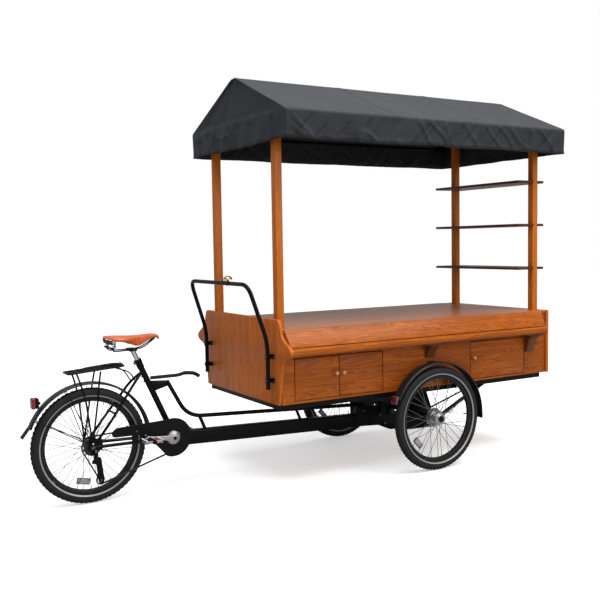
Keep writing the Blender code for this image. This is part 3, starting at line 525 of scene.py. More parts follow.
def leatherMaterial():
    made, tree, shader = blankMaterial("saddle_leather")
    place = put(tree, "ShaderNodeTexCoord")
    grain = put(tree, "ShaderNodeTexVoronoi", feature="DISTANCE_TO_EDGE", Scale=520.0)
    join(tree, place, "Object", grain, "Vector")
    tone = put(tree, "ShaderNodeTexNoise", Scale=16.0, Detail=5.0, Roughness=0.6)
    join(tree, place, "Object", tone, "Vector")
    shade = remap(tree, (tone, "Fac"), 0.35, 0.7, 0.0, 1.0)
    body = blendColour(tree, shade, (0.80, 0.160, 0.036, 1), (0.55, 0.095, 0.019, 1))
    # the leather is darkened along the grain creases, the hollows of its bump: painted shade
    creases = remap(tree, (grain, "Distance"), 0.0, 0.10, 1.0, 0.0)
    creaseShade = calc(tree, "MULTIPLY", creases, 0.35)
    colour = blendColour(tree, creaseShade, body, (0.24, 0.05, 0.014, 1))
    tree.links.new(colour[0].outputs[colour[1]], shader.inputs["Base Color"])
    rough = remap(tree, (tone, "Fac"), 0.3, 0.7, 0.30, 0.46)
    tree.links.new(rough[0].outputs[0], shader.inputs["Roughness"])
    height = calc(tree, "MULTIPLY", creases, -1.0)
    bumpInto(tree, shader, height, 0.35, 0.0002)
    shader.inputs["Coat Weight"].default_value = 0.15
    shader.inputs["Coat Roughness"].default_value = 0.25
    return made


def clothMaterial():
    # coated canvas: a fine plain weave on the piece's own UV map, in metres
    made, tree, shader = blankMaterial("canopy_cloth")
    place = put(tree, "ShaderNodeTexCoord")
    weave = []
    for direction in ("X", "Y"):
        threads = put(tree, "ShaderNodeTexWave", wave_type="BANDS", bands_direction=direction,
                      wave_profile="SIN", Scale=190.0, Distortion=0.6, Detail=1.0, Detail_Scale=3.0)
        join(tree, place, "UV", threads, "Vector")
        weave.append((threads, "Fac"))
    cross = calc(tree, "MULTIPLY", *weave)
    stains = put(tree, "ShaderNodeTexNoise", Scale=3.2, Detail=6.0, Roughness=0.6)
    join(tree, place, "Object", stains, "Vector")
    slubs = put(tree, "ShaderNodeTexNoise", Scale=150.0, Detail=3.0)
    join(tree, place, "UV", slubs, "Vector")
    mixed = calc(tree, "MULTIPLY_ADD", (slubs, "Fac"), 0.35, remap(tree, (stains, "Fac"), 0.3, 0.7, 0.0, 0.65))
    colour = blendColour(tree, mixed, (0.0070, 0.0088, 0.0108, 1), (0.0160, 0.0188, 0.0225, 1))
    # lighter where both thread waves rise, where the bump raises the weave: painted highlight on the thread crowns
    threadHighlight = blendColour(tree, calc(tree, "MULTIPLY", cross, 0.25), colour, (0.038, 0.040, 0.045, 1))
    tree.links.new(threadHighlight[0].outputs[threadHighlight[1]], shader.inputs["Base Color"])
    rough = remap(tree, (stains, "Fac"), 0.3, 0.7, 0.50, 0.64)
    tree.links.new(rough[0].outputs[0], shader.inputs["Roughness"])
    crinkle = put(tree, "ShaderNodeTexNoise", Scale=13.0, Detail=6.0, Roughness=0.58, Distortion=0.7)
    join(tree, place, "Object", crinkle, "Vector")
    height = calc(tree, "MULTIPLY_ADD", (crinkle, "Fac"), 6.0, cross)
    bumpInto(tree, shader, height, 0.75, 0.0010)
    shader.inputs["Specular IOR Level"].default_value = 0.34
    shader.inputs["Sheen Weight"].default_value = 0.07
    shader.inputs["Sheen Roughness"].default_value = 0.5
    shader.inputs["Sheen Tint"].default_value = (0.75, 0.78, 0.9, 1)
    return made


saddleLeather = leatherMaterial()
canopyCloth = clothMaterial()

# wheels
print("wheels")
rearX = rearWheel.x
wheelFacts = {"rim": 0.2575, "spokes": 36, "spokeSize": 0.0016, "crossing": 58,
              "bandIn": 0.2622, "bandOut": 0.2700, "knobs": 72}
tyreSection = [(0.2580, 0.0125), (0.2590, 0.0165), (0.2608, 0.0196), (wheelFacts["bandIn"], 0.0209),
               (wheelFacts["bandIn"] + 0.0002, 0.0215), (wheelFacts["bandOut"] - 0.0002, 0.0252),
               (wheelFacts["bandOut"], 0.0247), (0.2740, 0.0255), (0.2820, 0.0259), (0.2900, 0.0252),
               (0.2970, 0.0224), (0.3020, 0.0182), (0.3055, 0.0120), (0.3072, 0.0060), (0.3078, 0.0)]
# each tread block: where across the tyre, how far out, its turn on the crown and its lean to the side
treadBlocks = [(-0.0052, 0.3070, 24, 0), (0.0052, 0.3070, -24, 0), (-0.0150, 0.3032, -30, 34),
               (0.0150, 0.3032, 30, -34)]


def makeTyre(name, centre, body):
    bm = bmesh.new()
    section = [(r, -y) for r, y in tyreSection] + [(r, y) for r, y in reversed(tyreSection[:-1])]
    turned(bm, section, centre * Vector((1, 0, 1)) + Vector((0, centre.y, 0)), 1, 96)
    for face in bm.faces:
        reach = [math.hypot(v.co.x - centre.x, v.co.z - centre.z) for v in face.verts]
        inBand = min(reach) > wheelFacts["bandIn"] - 0.0001 and max(reach) < wheelFacts["bandOut"] + 0.0001
        if inBand and abs(face.calc_center_median().y - centre.y) > 0.02:
            face.material_index = 1
    start = mark(bm)
    for y, reach, turn, lean in treadBlocks:
        verts = bmesh.ops.create_cube(bm, size=1.0)["verts"]
        bmesh.ops.scale(bm, vec=(0.0044, 0.0085, 0.0062), verts=verts)
        bmesh.ops.rotate(bm, cent=(0, 0, 0), matrix=Matrix.Rotation(math.radians(turn), 3, "X"), verts=verts)
        bmesh.ops.rotate(bm, cent=(0, 0, 0), matrix=Matrix.Rotation(math.radians(-lean), 3, "Z"), verts=verts)
        bmesh.ops.translate(bm, vec=centre + Vector((reach, y, 0.004 if y > 0 else -0.004)), verts=verts)
    around(bm, start, centre, wheelFacts["knobs"])
    return finish(name, bm, [tyreRubber, sidewallBand], body, [name.replace("tyre_tread", "tyre")],
                  angle=40)


def makeSpokes(bm, centre, flangeRadius, flange, slot):
    # crossed spokes from both flanges, each with its nipple at the rim
    step = math.tau / wheelFacts["spokes"]
    for side in (-1, 1):
        for lean in (-1, 1):
            start = mark(bm)
            rimAngle = (0 if side > 0 else 1) * step + (0 if lean > 0 else 2) * step
            hubAngle = rimAngle + lean * math.radians(wheelFacts["crossing"])
            head = Vector((math.cos(hubAngle) * flangeRadius, side * flange, math.sin(hubAngle) * flangeRadius))
            foot = Vector((math.cos(rimAngle), side * 0.008, math.sin(rimAngle))) * Vector((0.2385, 1, 0.2385))
            tube(bm, [centre + head, centre + foot], wheelFacts["spokeSize"], 5, slot)
            inner = foot + (head - foot).normalized() * 0.015
            tube(bm, [centre + inner, centre + foot], 0.0021, 6, slot)
            around(bm, start, centre, wheelFacts["spokes"] // 4)


def makeRim(bm, centre, slot):
    half = [(0.2352, 0.0), (0.2356, 0.0058), (0.2372, 0.0092), (0.2440, 0.0116), (0.2520, 0.0130),
            (wheelFacts["rim"] - 0.0008, 0.0132), (wheelFacts["rim"], 0.0126), (wheelFacts["rim"] - 0.0002, 0.0114)]
    section = [(r, -y) for r, y in reversed(half)] + half[1:]
    turned(bm, section + [(0.2495, 0.0106), (0.2495, -0.0106)], centre, 1, 96, slot=slot)
    # valve
    stem = centre + Vector((0.236, 0, 0))
    tube(bm, [stem, stem - Vector((0.030, 0, 0))], [0.0032, 0.0026], 8, slot)


def makeReflector(bm, centre, angle, radius, slots):
    # a wheel reflector across two spokes: housing and lens on both sides
    start = mark(bm)
    board(bm, (radius - 0.017, -0.0052, -0.036), (radius + 0.017, 0.0052, 0.036), 0.003, 2, slots[0])
    board(bm, (radius - 0.0135, -0.0064, -0.0325), (radius + 0.0135, 0.0064, 0.0325), 0.0015, 2, slots[1])
    verts = newVerts(bm, start)
    bmesh.ops.rotate(bm, cent=(0, 0, 0), matrix=Matrix.Rotation(math.radians(-angle), 3, "Y"), verts=verts)
    bmesh.ops.translate(bm, vec=centre, verts=verts)


makeTyre("rear_tyre_tread", rearWheel, "rear_wheel")
bm = bmesh.new()
makeRim(bm, rearWheel, 0)
makeSpokes(bm, rearWheel, 0.0250, 0.030, 1)
barrel = [(0.0085, 0.0), (0.0165, 0.0), (0.0165, 0.020), (0.0190, 0.0255), (0.0270, 0.0276), (0.0285, 0.0285),
          (0.0285, 0.0312), (0.0270, 0.0322), (0.0200, 0.0330), (0.0180, 0.0350), (0.0165, 0.0470),
          (0.0150, 0.0480), (0.0085, 0.0480)]
turned(bm, [(r, -y) for r, y in reversed(barrel[1:])] + barrel[1:], rearWheel, 1, 40, slot=2)
makeReflector(bm, rearWheel, 258, 0.192, (3, 4))
finish("rear_wheel_spokes", bm, [rimPaint, spokeSteel, hubAlloy, greyPlastic, clearLens], "rear_wheel",
       ["rear_wheel_hub"], angle=30)

for side, label in ((-1, "right"), (1, "left")):
    spot = frontWheel[label]
    body = f"front_wheel_{label}"
    makeTyre(f"front_tyre_tread_{label}", spot, body)
    bm = bmesh.new()
    makeRim(bm, spot, 0)
    makeSpokes(bm, spot, 0.0335, 0.026, 1)
    barrel = [(0.0200, 0.0), (0.0200, 0.0140), (0.0225, 0.0210), (0.0345, 0.0238), (0.0368, 0.0248),
              (0.0368, 0.0275), (0.0350, 0.0286), (0.0250, 0.0296), (0.0225, 0.0320), (0.0215, 0.0356),
              (0.0205, 0.0362), (0.0138, 0.0362)]
    turned(bm, [(r, -y) for r, y in reversed(barrel[1:])] + barrel[1:], spot, 1, 40, slot=2)
    # brake disc on the inner side, with its ring of holes and five bolts
    inner = -side * 0.0310
    turned(bm, [(0.0225, inner - 0.0008), (0.0575, inner - 0.0008), (0.0578, inner), (0.0575, inner + 0.0008),
                (0.0225, inner + 0.0008)], spot, 1, 60, slot=2)
    start = mark(bm)
    rod(bm, (spot.x + 0.029, spot.y, spot.z), 0.0038, spot.y + inner * 1.02,
        spot.y + inner * 1.16, 1, 6, 0.0006, slot=5)
    around(bm, start, spot, 5)
    start = mark(bm)
    rod(bm, (spot.x + 0.0475, spot.y, spot.z), 0.0030, spot.y + inner - 0.0010, spot.y + inner + 0.0010, 1, 8,
        0.0001, slot=5)
    around(bm, start, spot, 18)
    makeReflector(bm, spot, 222, 0.196, (3, 4))
    finish(f"front_wheel_spokes_{label}", bm, [rimPaint, spokeSteel, hubAlloy, greyPlastic, clearLens, boltSteel],
           body, [f"front_wheel_hub_{label}"], angle=30)
    # domed nut and washer that hold the wheel on its stub axle
    bm = bmesh.new()
    out = spot.y + side * 0.0372
    cap = [(0.0, 0.0150), (0.0060, 0.0146), (0.0110, 0.0128), (0.0140, 0.0095), (0.0150, 0.0060), (0.0150, 0.0022),
           (0.0185, 0.0018), (0.0185, 0.0), (0.0, 0.0)]
    turned(bm, [(r, side * y) for r, y in cap], (spot.x, out, spot.z), 1, 28, closed=False, slot=0)
    finish(f"front_axle_nut_{label}", bm, [guardPlastic], "steered_front")

# rear frame
print("rear frame")
frameFacts = {"beamWide": 0.050, "beamTall": 0.082, "seatTube": 0.0165, "upperTube": 0.0115, "stay": 0.0075,
              "chainStay": 0.009, "stayHalf": 0.062, "lugHeight": 0.610}
bb = Vector((bracket.x, 0.0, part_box("crankset")[0].z + 0.074))
seatTop = Vector((rearX + 0.285, 0, 0.725))
seatFoot = Vector((bb.x + 0.020, 0, bb.z + 0.02))
seatLine = (seatFoot - seatTop).normalized()
lugHeight = frameFacts["lugHeight"]
lugX = seatTop.x + (seatTop.z - lugHeight) * seatLine.x / -seatLine.z
headLow, headHigh = wheelRadius - 0.164, wheelRadius + 0.015


def onSeat(z, out=0.0):
    # a point on the seat tube's line at that height, out in front of it
    return Vector((seatTop.x + (seatTop.z - z) * seatLine.x / -seatLine.z + out, 0, z))


bm = bmesh.new()
# main beam: a rounded box section, from the bottom bracket to the turntable
beamStart, beamEnd = Vector((bb.x - 0.004, 0, bb.z - 0.022)), Vector((frontAxle + 0.020, 0, wheelRadius - 0.084))
length = (beamEnd - beamStart).length
start = mark(bm)
board(bm, (0, -frameFacts["beamWide"] / 2, -frameFacts["beamTall"] / 2),
      (length, frameFacts["beamWide"] / 2, frameFacts["beamTall"] / 2), 0.008, 4)
dip = math.atan2(beamStart.z - beamEnd.z, beamEnd.x - beamStart.x)
verts = newVerts(bm, start)
bmesh.ops.rotate(bm, cent=(0, 0, 0), matrix=Matrix.Rotation(dip, 3, "Y"), verts=verts)
bmesh.ops.translate(bm, vec=beamStart, verts=verts)
# bottom bracket shell with its two rims
turned(bm, [(0.0108, -0.036), (0.0245, -0.036), (0.0260, -0.0345), (0.0260, 0.0345), (0.0245, 0.036),
            (0.0108, 0.036)],
       bb, 1, 40)
for side in (-1, 1):
    turned(bm, [(0.0110, side * 0.0362), (0.0205, side * 0.0362), (0.0205, side * 0.0395), (0.0190, side * 0.0405),
                (0.0110, side * 0.0405)], bb, 1, 12, slot=1)
# seat tube, its two bosses and the collar at its head
tube(bm, [seatFoot, seatTop], frameFacts["seatTube"], 24)
tube(bm, [seatTop - seatLine * 0.001, seatTop + seatLine * 0.030], 0.0192, 24)
for drop in (0.655, 0.628):
    spot = onSeat(drop)
    out = Vector((-seatLine.z, 0, seatLine.x)) * -1
    tube(bm, [spot + out * 0.014, spot + out * 0.0195], 0.0052, 12)
    tube(bm, [spot + out * 0.0190, spot + out * 0.0222], 0.0036, 6, 1)
# gusset plate under the lift handle
lug = [(0.004, lugHeight + 0.012), (0.112, lugHeight + 0.004), (0.116, lugHeight - 0.010), (0.112, lugHeight - 0.026),
       (0.030, lugHeight - 0.048), (0.010, lugHeight - 0.052)]
plate(bm, [(lugX + x, z) for x, z in lug], 1, -0.005, 0.005, 0.0015, 2)
upper = [(lugX + 0.108, 0, lugHeight + 0.001), (lugX + 0.225, 0, lugHeight - 0.213),
         (frontAxle - 0.175, 0, wheelRadius + 0.020)]
tube(bm, curved(upper, 0.09, 9), frameFacts["upperTube"], 20)
for low, high, size in (((lugX + 0.352, 0, bb.z - 0.042), (lugX + 0.300, 0, lugHeight - 0.222), 0.010),
                        ((cabinetRear + 0.415, 0, bb.z - 0.045), (cabinetRear + 0.375, 0, bb.z + 0.045), 0.009)):
    tube(bm, [low, high], size, 16)
# bracket plates and the lower half of the turntable
plates = [(-0.215, headHigh), (-0.165, headHigh), (-0.120, headHigh - 0.012), (-0.075, headHigh - 0.040),
          (0.060, headHigh - 0.049), (0.098, headLow + 0.072), (0.110, headLow + 0.054), (0.104, headLow + 0.012),
          (0.092, headLow), (0.030, headLow), (-0.020, headLow + 0.022), (-0.060, headLow + 0.040),
          (-0.250, headLow + 0.054), (-0.252, headLow + 0.064)]
plate(bm, [(frontAxle + x, z) for x, z in plates], 1, -0.030, 0.030, 0.004, 3, angle=40)
for x, z in ((-0.190, headHigh - 0.030), (-0.060, headHigh - 0.070), (0.070, headLow + 0.040),
             (-0.020, headLow + 0.050)):
    for side in (-1, 1):
        rod(bm, (frontAxle + x, 0, z), 0.0085, side * 0.029, side * 0.0355, 1, 6,
            0.0012, slot=1)
turntable = wheelRadius - 0.010
turned(bm, [(0.0, turntable - 0.045), (0.058, turntable - 0.045), (0.060, turntable - 0.043),
            (0.060, turntable - 0.002), (0.058, turntable), (0.0, turntable)], (frontAxle, 0, 0), 2, 48, closed=False)
# stays and dropouts
dropout = [(-0.020, 0.020), (-0.008, 0.026), (0.045, 0.045), (0.053, 0.030), (0.050, -0.014), (0.030, -0.022),
           (-0.012, -0.026), (-0.022, -0.010)]
for side in (-1, 1):
    half = frameFacts["stayHalf"]
    crown = seatTop + seatLine * 0.05
    wheelEnd = Vector((rearX, side * half, wheelRadius))
    seatStay = [crown, crown + Vector((-0.06, side * 0.034, -0.055)),
                (rearX + 0.105, side * half, wheelRadius + 0.132), wheelEnd]
    tube(bm, curved(seatStay, 0.045, 6), frameFacts["stay"], 14)
    chainStay = [(bb.x, side * 0.024, bb.z - 0.004), (bb.x - 0.10, side * 0.046, bb.z - 0.006), wheelEnd]
    tube(bm, curved(chainStay, 0.06, 6), frameFacts["chainStay"], 14)
    plate(bm, [(rearX + x, wheelRadius + z) for x, z in dropout], 1, side * half - 0.003, side * half + 0.003,
          0.0012, 2)
    # axle nut and washer on each side
    outer = side * (half + 0.003)
    rod(bm, wheelEnd * Vector((1, 0, 1)), 0.0125, outer, outer + side * 0.0022, 1,
        24, 0.0006, slot=1)
    rod(bm, wheelEnd * Vector((1, 0, 1)), 0.0092, outer, outer + side * 0.0085, 1,
        6, 0.0010, slot=1)
# bridge between the stays behind the seat tube
tube(bm, [(rearX + 0.124, -0.055, wheelRadius + 0.165), (rearX + 0.124, 0.055, wheelRadius + 0.165)], 0.006, 12)
rod(bm, (rearX, 0, wheelRadius), 0.0050, -0.074, 0.074, 1, 16, 0.001, slot=1)
finish("main_frame_tubes", bm, [framePaint, boltSteel], "rear_frame", ["main_frame"], angle=35)

# seat post with its clamp
bm = bmesh.new()
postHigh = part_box("seat_post")[1]
postTop = Vector((rearX + 0.252, 0, postHigh.z))
across = (postTop - seatTop).normalized()
tube(bm, [seatTop + across * 0.0006, seatTop + across * 0.0215], 0.0208, 28, 1)
tube(bm, [seatTop + across * 0.003, seatTop + across * 0.006], 0.0214, 28, 1)
tube(bm, [seatTop + across * 0.016, seatTop + across * 0.019], 0.0214, 28, 1)
side = Vector((across.z, 0, -across.x))
bolt = seatTop + across * 0.011 - side * 0.024
rod(bm, bolt, 0.0042, -0.016, 0.016, 1, 12, 0.0006, slot=2)
rod(bm, bolt, 0.0066, -0.021, -0.015, 1, 6, 0.0008, slot=2)
tube(bm, [seatTop + across * 0.002, postTop], 0.0134, 28, 0)
finish("seat_post_tube", bm, [chromeSteel, framePaint, boltSteel], "rear_frame", ["seat_post"],
       angle=35)

# lift handle: rubber sleeve on a bent bar, with ribs at its end
bm = bmesh.new()
gripZ = seatTop.z - 0.088
path = [onSeat(gripZ, 0.0255), (cabinetRear - 0.385, 0, gripZ), (cabinetRear - 0.350, 0, gripZ + 0.010),
        (cabinetRear - 0.290, 0, gripZ + 0.003), (cabinetRear - 0.262, 0, gripZ - 0.017)]
line = curved(path, 0.022, 6)
tube(bm, line, 0.0098, 18)
tail = [p for p in line if p.x > cabinetRear - 0.360]
tube(bm, tail, [0.0104 if k % 2 else 0.0112 for k in range(len(tail))], 18)
finish("lift_handle_grip", bm, [gripRubber], "rear_frame", ["lift_handle"], angle=45)

# drive
print("drive")
driveFacts = {"chainY": -0.0475, "rearReach": 0.0555, "frontReach": 0.0805, "pitch": 0.0127, "armLength": 0.158}
axleSpot = Vector((rearX, 0, wheelRadius))
upperPulley = Vector((rearX + 0.026, 0, wheelRadius - 0.072))
lowerPulley = Vector((rearX + 0.040, 0, wheelRadius - 0.182))


def arc(centre, radius, start, end, count):
    angles = [math.radians(start + (end - start) * k / count) for k in range(count + 1)]
    return [Vector((centre.x + radius * math.cos(a), driveFacts["chainY"], centre.z + radius * math.sin(a)))
            for a in angles]


def spaced(path, step):
    # points at equal distances along a closed path
    path = path + [path[0]]
    total = sum((b - a).length for a, b in zip(path, path[1:]))
    count = round(total / step / 2) * 2
    step, made, left = total / count, [], 0.0
    for a, b in zip(path, path[1:]):
        reach = (b - a).length
        while left < reach and len(made) < count:
            made.append(a.lerp(b, left / reach))
            left += step
        left -= reach
    return made


def toothed(bm, centre, radius, teeth, low, high, slot, depth=0.0035):
    # a sprocket: a disc with pointed teeth
    outline = []
    for k in range(teeth):
        for share, reach in ((0.0, -depth), (0.30, -depth * 0.7), (0.42, 0.0), (0.58, 0.0), (0.70, -depth * 0.7)):
            angle = math.tau * (k + share) / teeth
            outline.append((centre.x + (radius + reach) * math.cos(angle),
                            centre.z + (radius + reach) * math.sin(angle)))
    plate(bm, outline, 1, low, high, slot=slot)


loop = arc(axleSpot, driveFacts["rearReach"], 215, 94, 24) + arc(bb, driveFacts["frontReach"], 94, -76, 30)
loop += arc(lowerPulley, 0.0225, -76, -230, 12)
bm = bmesh.new()
points = spaced(loop, driveFacts["pitch"])
for k, here in enumerate(points):
    after = points[(k + 1) % len(points)]
    along = (after - here).normalized()
    turn = Matrix.Translation((here + after) / 2) @ Matrix.Rotation(-math.atan2(along.z, along.x), 4, "Y")
    spread = 0.0029 if k % 2 else 0.0019
    for side in (-1, 1):
        verts = bmesh.ops.create_circle(bm, cap_ends=True, segments=10, radius=0.0042)["verts"]
        bmesh.ops.rotate(bm, cent=(0, 0, 0), matrix=Matrix.Rotation(math.pi / 2, 3, "X"), verts=verts)
        for vert in verts:
            vert.co.x += math.copysign((here - after).length / 2, vert.co.x) if abs(vert.co.x) > 1e-5 else 0.0
            vert.co.y = side * spread
        grown = bmesh.ops.extrude_face_region(bm, geom=[verts[0].link_faces[0]])
        more = [g for g in grown["geom"] if isinstance(g, bmesh.types.BMVert)]
        bmesh.ops.translate(bm, vec=(0, side * 0.0009, 0), verts=more)
        bmesh.ops.transform(bm, matrix=turn, verts=verts + more)
    rod(bm, here, 0.0021, driveFacts["chainY"] - 0.0040, driveFacts["chainY"] + 0.0040, 1, 8, 0.0002)
finish("chain_links", bm, [chainSteel], "rear_frame", ["chain"], angle=40, merge=1e-7)

bm = bmesh.new()
rows = [(0.0500, 24, -0.0481), (0.0478, 22, -0.0463), (0.0452, 21, -0.0445), (0.0425, 19, -0.0427),
        (0.0398, 17, -0.0409), (0.0372, 15, -0.0391)]
for radius, teeth, y in reversed(rows):
    toothed(bm, axleSpot, radius, teeth, y, y + 0.0010, 0)
turned(bm, [(0.0195, -0.0484), (0.0300, -0.0484), (0.0320, -0.0370), (0.0195, -0.0366)], axleSpot, 1, 30)
finish("rear_sprocket_set", bm, [cogSteel], "rear_wheel", ["rear_sprockets"], angle=30)

# crankset: chainring, spider, tapered arms with dark bolt caps
bm = bmesh.new()
toothed(bm, bb, 0.0765, 38, -0.0528, -0.0512, 1)
for k in range(5):
    angle = math.tau * k / 5 + 0.3
    way = Vector((math.cos(angle), 0, math.sin(angle)))
    tube(bm, [bb + way * 0.014 + Vector((0, -0.0560, 0)), bb + way * 0.062 + Vector((0, -0.0545, 0))],
         [0.0085, 0.0052], 10, 0)
    rod(bm, bb + way * 0.060, 0.0046, -0.0592, -0.0500, 1, 12, 0.0005, slot=2)
turned(bm, [(0.0, -0.0890), (0.0180, -0.0890), (0.0260, -0.0868), (0.0370, -0.0810), (0.0380, -0.0780),
            (0.0380, -0.0560), (0.0360, -0.0520), (0.0, -0.0520)], bb, 1, 40, closed=False, slot=0)
rod(bm, bb, 0.0085, -0.100, 0.100, 1, 16, 0.001, slot=2)
armBack = Vector((-0.992, 0, 0.125)).normalized()
for side, way in ((-1, 1), (1, -1)):
    along = armBack * way
    up = Vector((-along.z, 0, along.x))
    line = [(bb - along * 0.010, 0.0175), (bb + along * 0.020, 0.0170), (bb + along * 0.050, 0.0125),
            (bb + along * 0.120, 0.0100), (bb + along * driveFacts["armLength"], 0.0118)]
    start = mark(bm)
    outline = [p + up * w for p, w in line] + [line[-1][0] + along * 0.0115 + up * 0.004,
              line[-1][0] + along * 0.0115 - up * 0.004] + [p - up * w for p, w in reversed(line)]
    outline += [bb - along * 0.019 - up * 0.008, bb - along * 0.019 + up * 0.008]
    plate(bm, [(p.x, p.z) for p in outline], 1, -0.0065, 0.0065, 0.0030, 3)
    verts = newVerts(bm, start)
    for vert in verts:
        share = (vert.co - bb).dot(along) / driveFacts["armLength"]
        vert.co.y += side * (0.0935 + 0.0040 * share)
    rod(bm, bb, 0.0095, side * 0.0985, side * 0.1035, 1, 20, 0.0012, slot=2)
finish("crank_arms", bm, [crankAlloy, cogSteel, framePaint], "crank", ["crankset"], angle=30)

for side, way, label in ((-1, 1, "right"), (1, -1, "left")):
    eye = bb + armBack * way * driveFacts["armLength"]
    near, far = side * 0.1095, side * 0.208
    low, high = min(near, far), max(near, far)
    bm = bmesh.new()
    rod(bm, eye, 0.0075, near, side * 0.2055, 1, 20, 0.001, slot=1)
    turned(bm, [(0.0, side * 0.1960), (0.0120, side * 0.1960), (0.0130, side * 0.2000), (0.0120, side * 0.2060),
                (0.0, side * 0.2075)], (eye.x, 0, eye.z), 1, 20, closed=False, slot=2)
    for end in (-1, 1):
        # toothed cage rails along the front and the back edge, and the reflector between them
        x0, x1 = eye.x + end * 0.0405, eye.x + end * 0.0440
        teeth = []
        for k in range(9):
            y = side * (0.122 + k * 0.0098)
            teeth += [(y, eye.z + 0.0080), (y + side * 0.0030, eye.z + 0.0108), (y + side * 0.0060, eye.z + 0.0080)]
        outline = teeth + [(y, 2 * eye.z - z) for y, z in reversed(teeth)]
        plate(bm, outline, 0, x0, x1, slot=0)
        x2, x3 = eye.x + end * 0.0345, eye.x + end * 0.0404
        board(bm, (x2, side * 0.135, eye.z - 0.0078),
              (x3, side * 0.185, eye.z + 0.0078), 0.0015, 2, 3)
    for y in (0.1225, 0.2010):
        board(bm, (eye.x - 0.0425, side * y - 0.0022, eye.z - 0.0072),
              (eye.x + 0.0425, side * y + 0.0022, eye.z + 0.0072), 0.0016, 2, 0)
    board(bm, (eye.x - 0.010, side * 0.118, eye.z - 0.0085),
          (eye.x + 0.010, side * 0.200, eye.z + 0.0085), 0.0035, 2, 2)
    finish(f"pedal_cage_{label}", bm, [crankAlloy, boltSteel, framePaint, amberLens], f"pedal_on_{label}",
           [f"pedal_{label}"], angle=30)

# chain guard: a plate with a rolled lip and a round opening for the crank
bm = bmesh.new()
outline = []
for k in range(33):
    angle = math.radians(-110 + 215 * k / 32)
    outline.append((bb.x + 0.1045 * math.cos(angle), bb.z + 0.1045 * math.sin(angle)))
arm = [(-0.308, 0.0900), (-0.322, 0.0865), (-0.333, 0.0800), (-0.3425, 0.0690), (-0.3440, 0.0600), (-0.340, 0.0490),
       (-0.329, 0.0440), (-0.160, 0.0395)]
outline += [(bb.x + x, bb.z + z) for x, z in arm]
hole = [(bb.x + 0.044 * math.cos(math.tau * k / 48), bb.z + 0.044 * math.sin(math.tau * k / 48)) for k in range(48)]
rings = []
for pairs in (outline, hole):
    ring = [bm.verts.new((x, -0.0738, z)) for x, z in pairs]
    rings += [bm.edges.new((a, b)) for a, b in zip(ring, ring[1:] + ring[:1])]
skin = bmesh.ops.triangle_fill(bm, edges=rings, use_beauty=True)
faces = [g for g in skin["geom"] if isinstance(g, bmesh.types.BMFace)]
bmesh.ops.recalc_face_normals(bm, faces=faces)
grown = bmesh.ops.extrude_face_region(bm, geom=faces)
more = [g for g in grown["geom"] if isinstance(g, bmesh.types.BMVert)]
bmesh.ops.translate(bm, vec=(0, 0.0030, 0), verts=more)
rim = [Vector((x, -0.0722, z)) for x, z in outline]
tube(bm, [*rim, rim[0]], 0.0026, 10)
tube(bm, [Vector((x, -0.0722, z)) for x, z in [*hole, hole[0]]], 0.0022, 8)
board(bm, (bb.x - 0.218, -0.0715, bb.z - 0.006), (bb.x - 0.200, -0.0606, bb.z + 0.048), 0.002, 2)
rod(bm, (bb.x - 0.209, 0, bb.z + 0.060), 0.0060, -0.0758, -0.0715, 1, 6, 0.0008, slot=1)
finish("chain_guard_plate", bm, [guardPlastic, boltSteel], "rear_frame", ["chain_guard"], angle=40)

# derailleur: body, hanger, parallel links, a cage plate and the two toothed pulleys
bm = bmesh.new()
hanger = [(-0.002, 0.058), (0.016, 0.062), (0.024, 0.040), (0.018, 0.008), (0.004, 0.006)]
plate(bm, [(rearX + x, wheelRadius - z) for x, z in hanger], 1, -0.0735, -0.0660, 0.0016, 2)
rod(bm, (rearX + 0.012, 0, wheelRadius - 0.022), 0.0075, -0.0760, -0.0640, 1, 20, 0.0012, slot=1)
for shift in (0.0, 0.014):
    tube(bm, [(rearX + 0.002 + shift, -0.0695, wheelRadius - 0.050),
              (rearX + 0.012 + shift, -0.0650, wheelRadius - 0.084)],
         0.0062, 12)
knuckle = [(-0.012, 0.084), (-0.006, 0.066), (0.020, 0.056), (0.034, 0.064), (0.032, 0.082), (0.010, 0.090)]
plate(bm, [(rearX + x, wheelRadius - z) for x, z in knuckle], 1, -0.0745, -0.0610, 0.0030, 3)
cage = [(-0.016, 0.008), (-0.008, 0.016), (0.012, 0.016), (0.018, 0.004)]
cageLow = [(0.017, 0.004), (0.013, -0.013), (0.004, -0.018), (-0.010, -0.015), (-0.015, -0.004)]
outline = [(upperPulley.x + x, upperPulley.z + z) for x, z in cage]
outline += [(lowerPulley.x + x, lowerPulley.z + z) for x, z in cageLow]
plate(bm, outline, 1, -0.0590, -0.0570, 0.0007, 1)
for spot in (upperPulley, lowerPulley):
    toothed(bm, spot, 0.0150, 11, -0.0512, -0.0455, 2, 0.0028)
    rod(bm, spot, 0.0052, -0.0605, -0.0450, 1, 14, 0.0008, slot=1)
finish("derailleur_parts", bm, [framePaint, boltSteel, greyPlastic], "rear_frame", ["derailleur"],
       angle=35)

# cabinet
print("cabinet")
canopyFacts = {"rise": 0.256, "sag": 0.010, "fold": 0.0165, "hem": 0.026, "cloth": 0.0016, "inset": 0.005,
               "seams": (0.352, 0.672), "along": 210, "slopeRows": 26, "skirtRows": 16, "across": 100}
ledgeTop = 0.790
gap = 0.0004
boardFacts = {"ease": 0.0022, "end": 0.020, "post": 0.044}
posts = {"rear": cabinetRear + 0.053, "front": cabinetFront - 0.045}
postY = wallOut - 0.084
frameTop = canopyHigh.z - 0.209
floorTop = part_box("cabinet_floor")[1].z


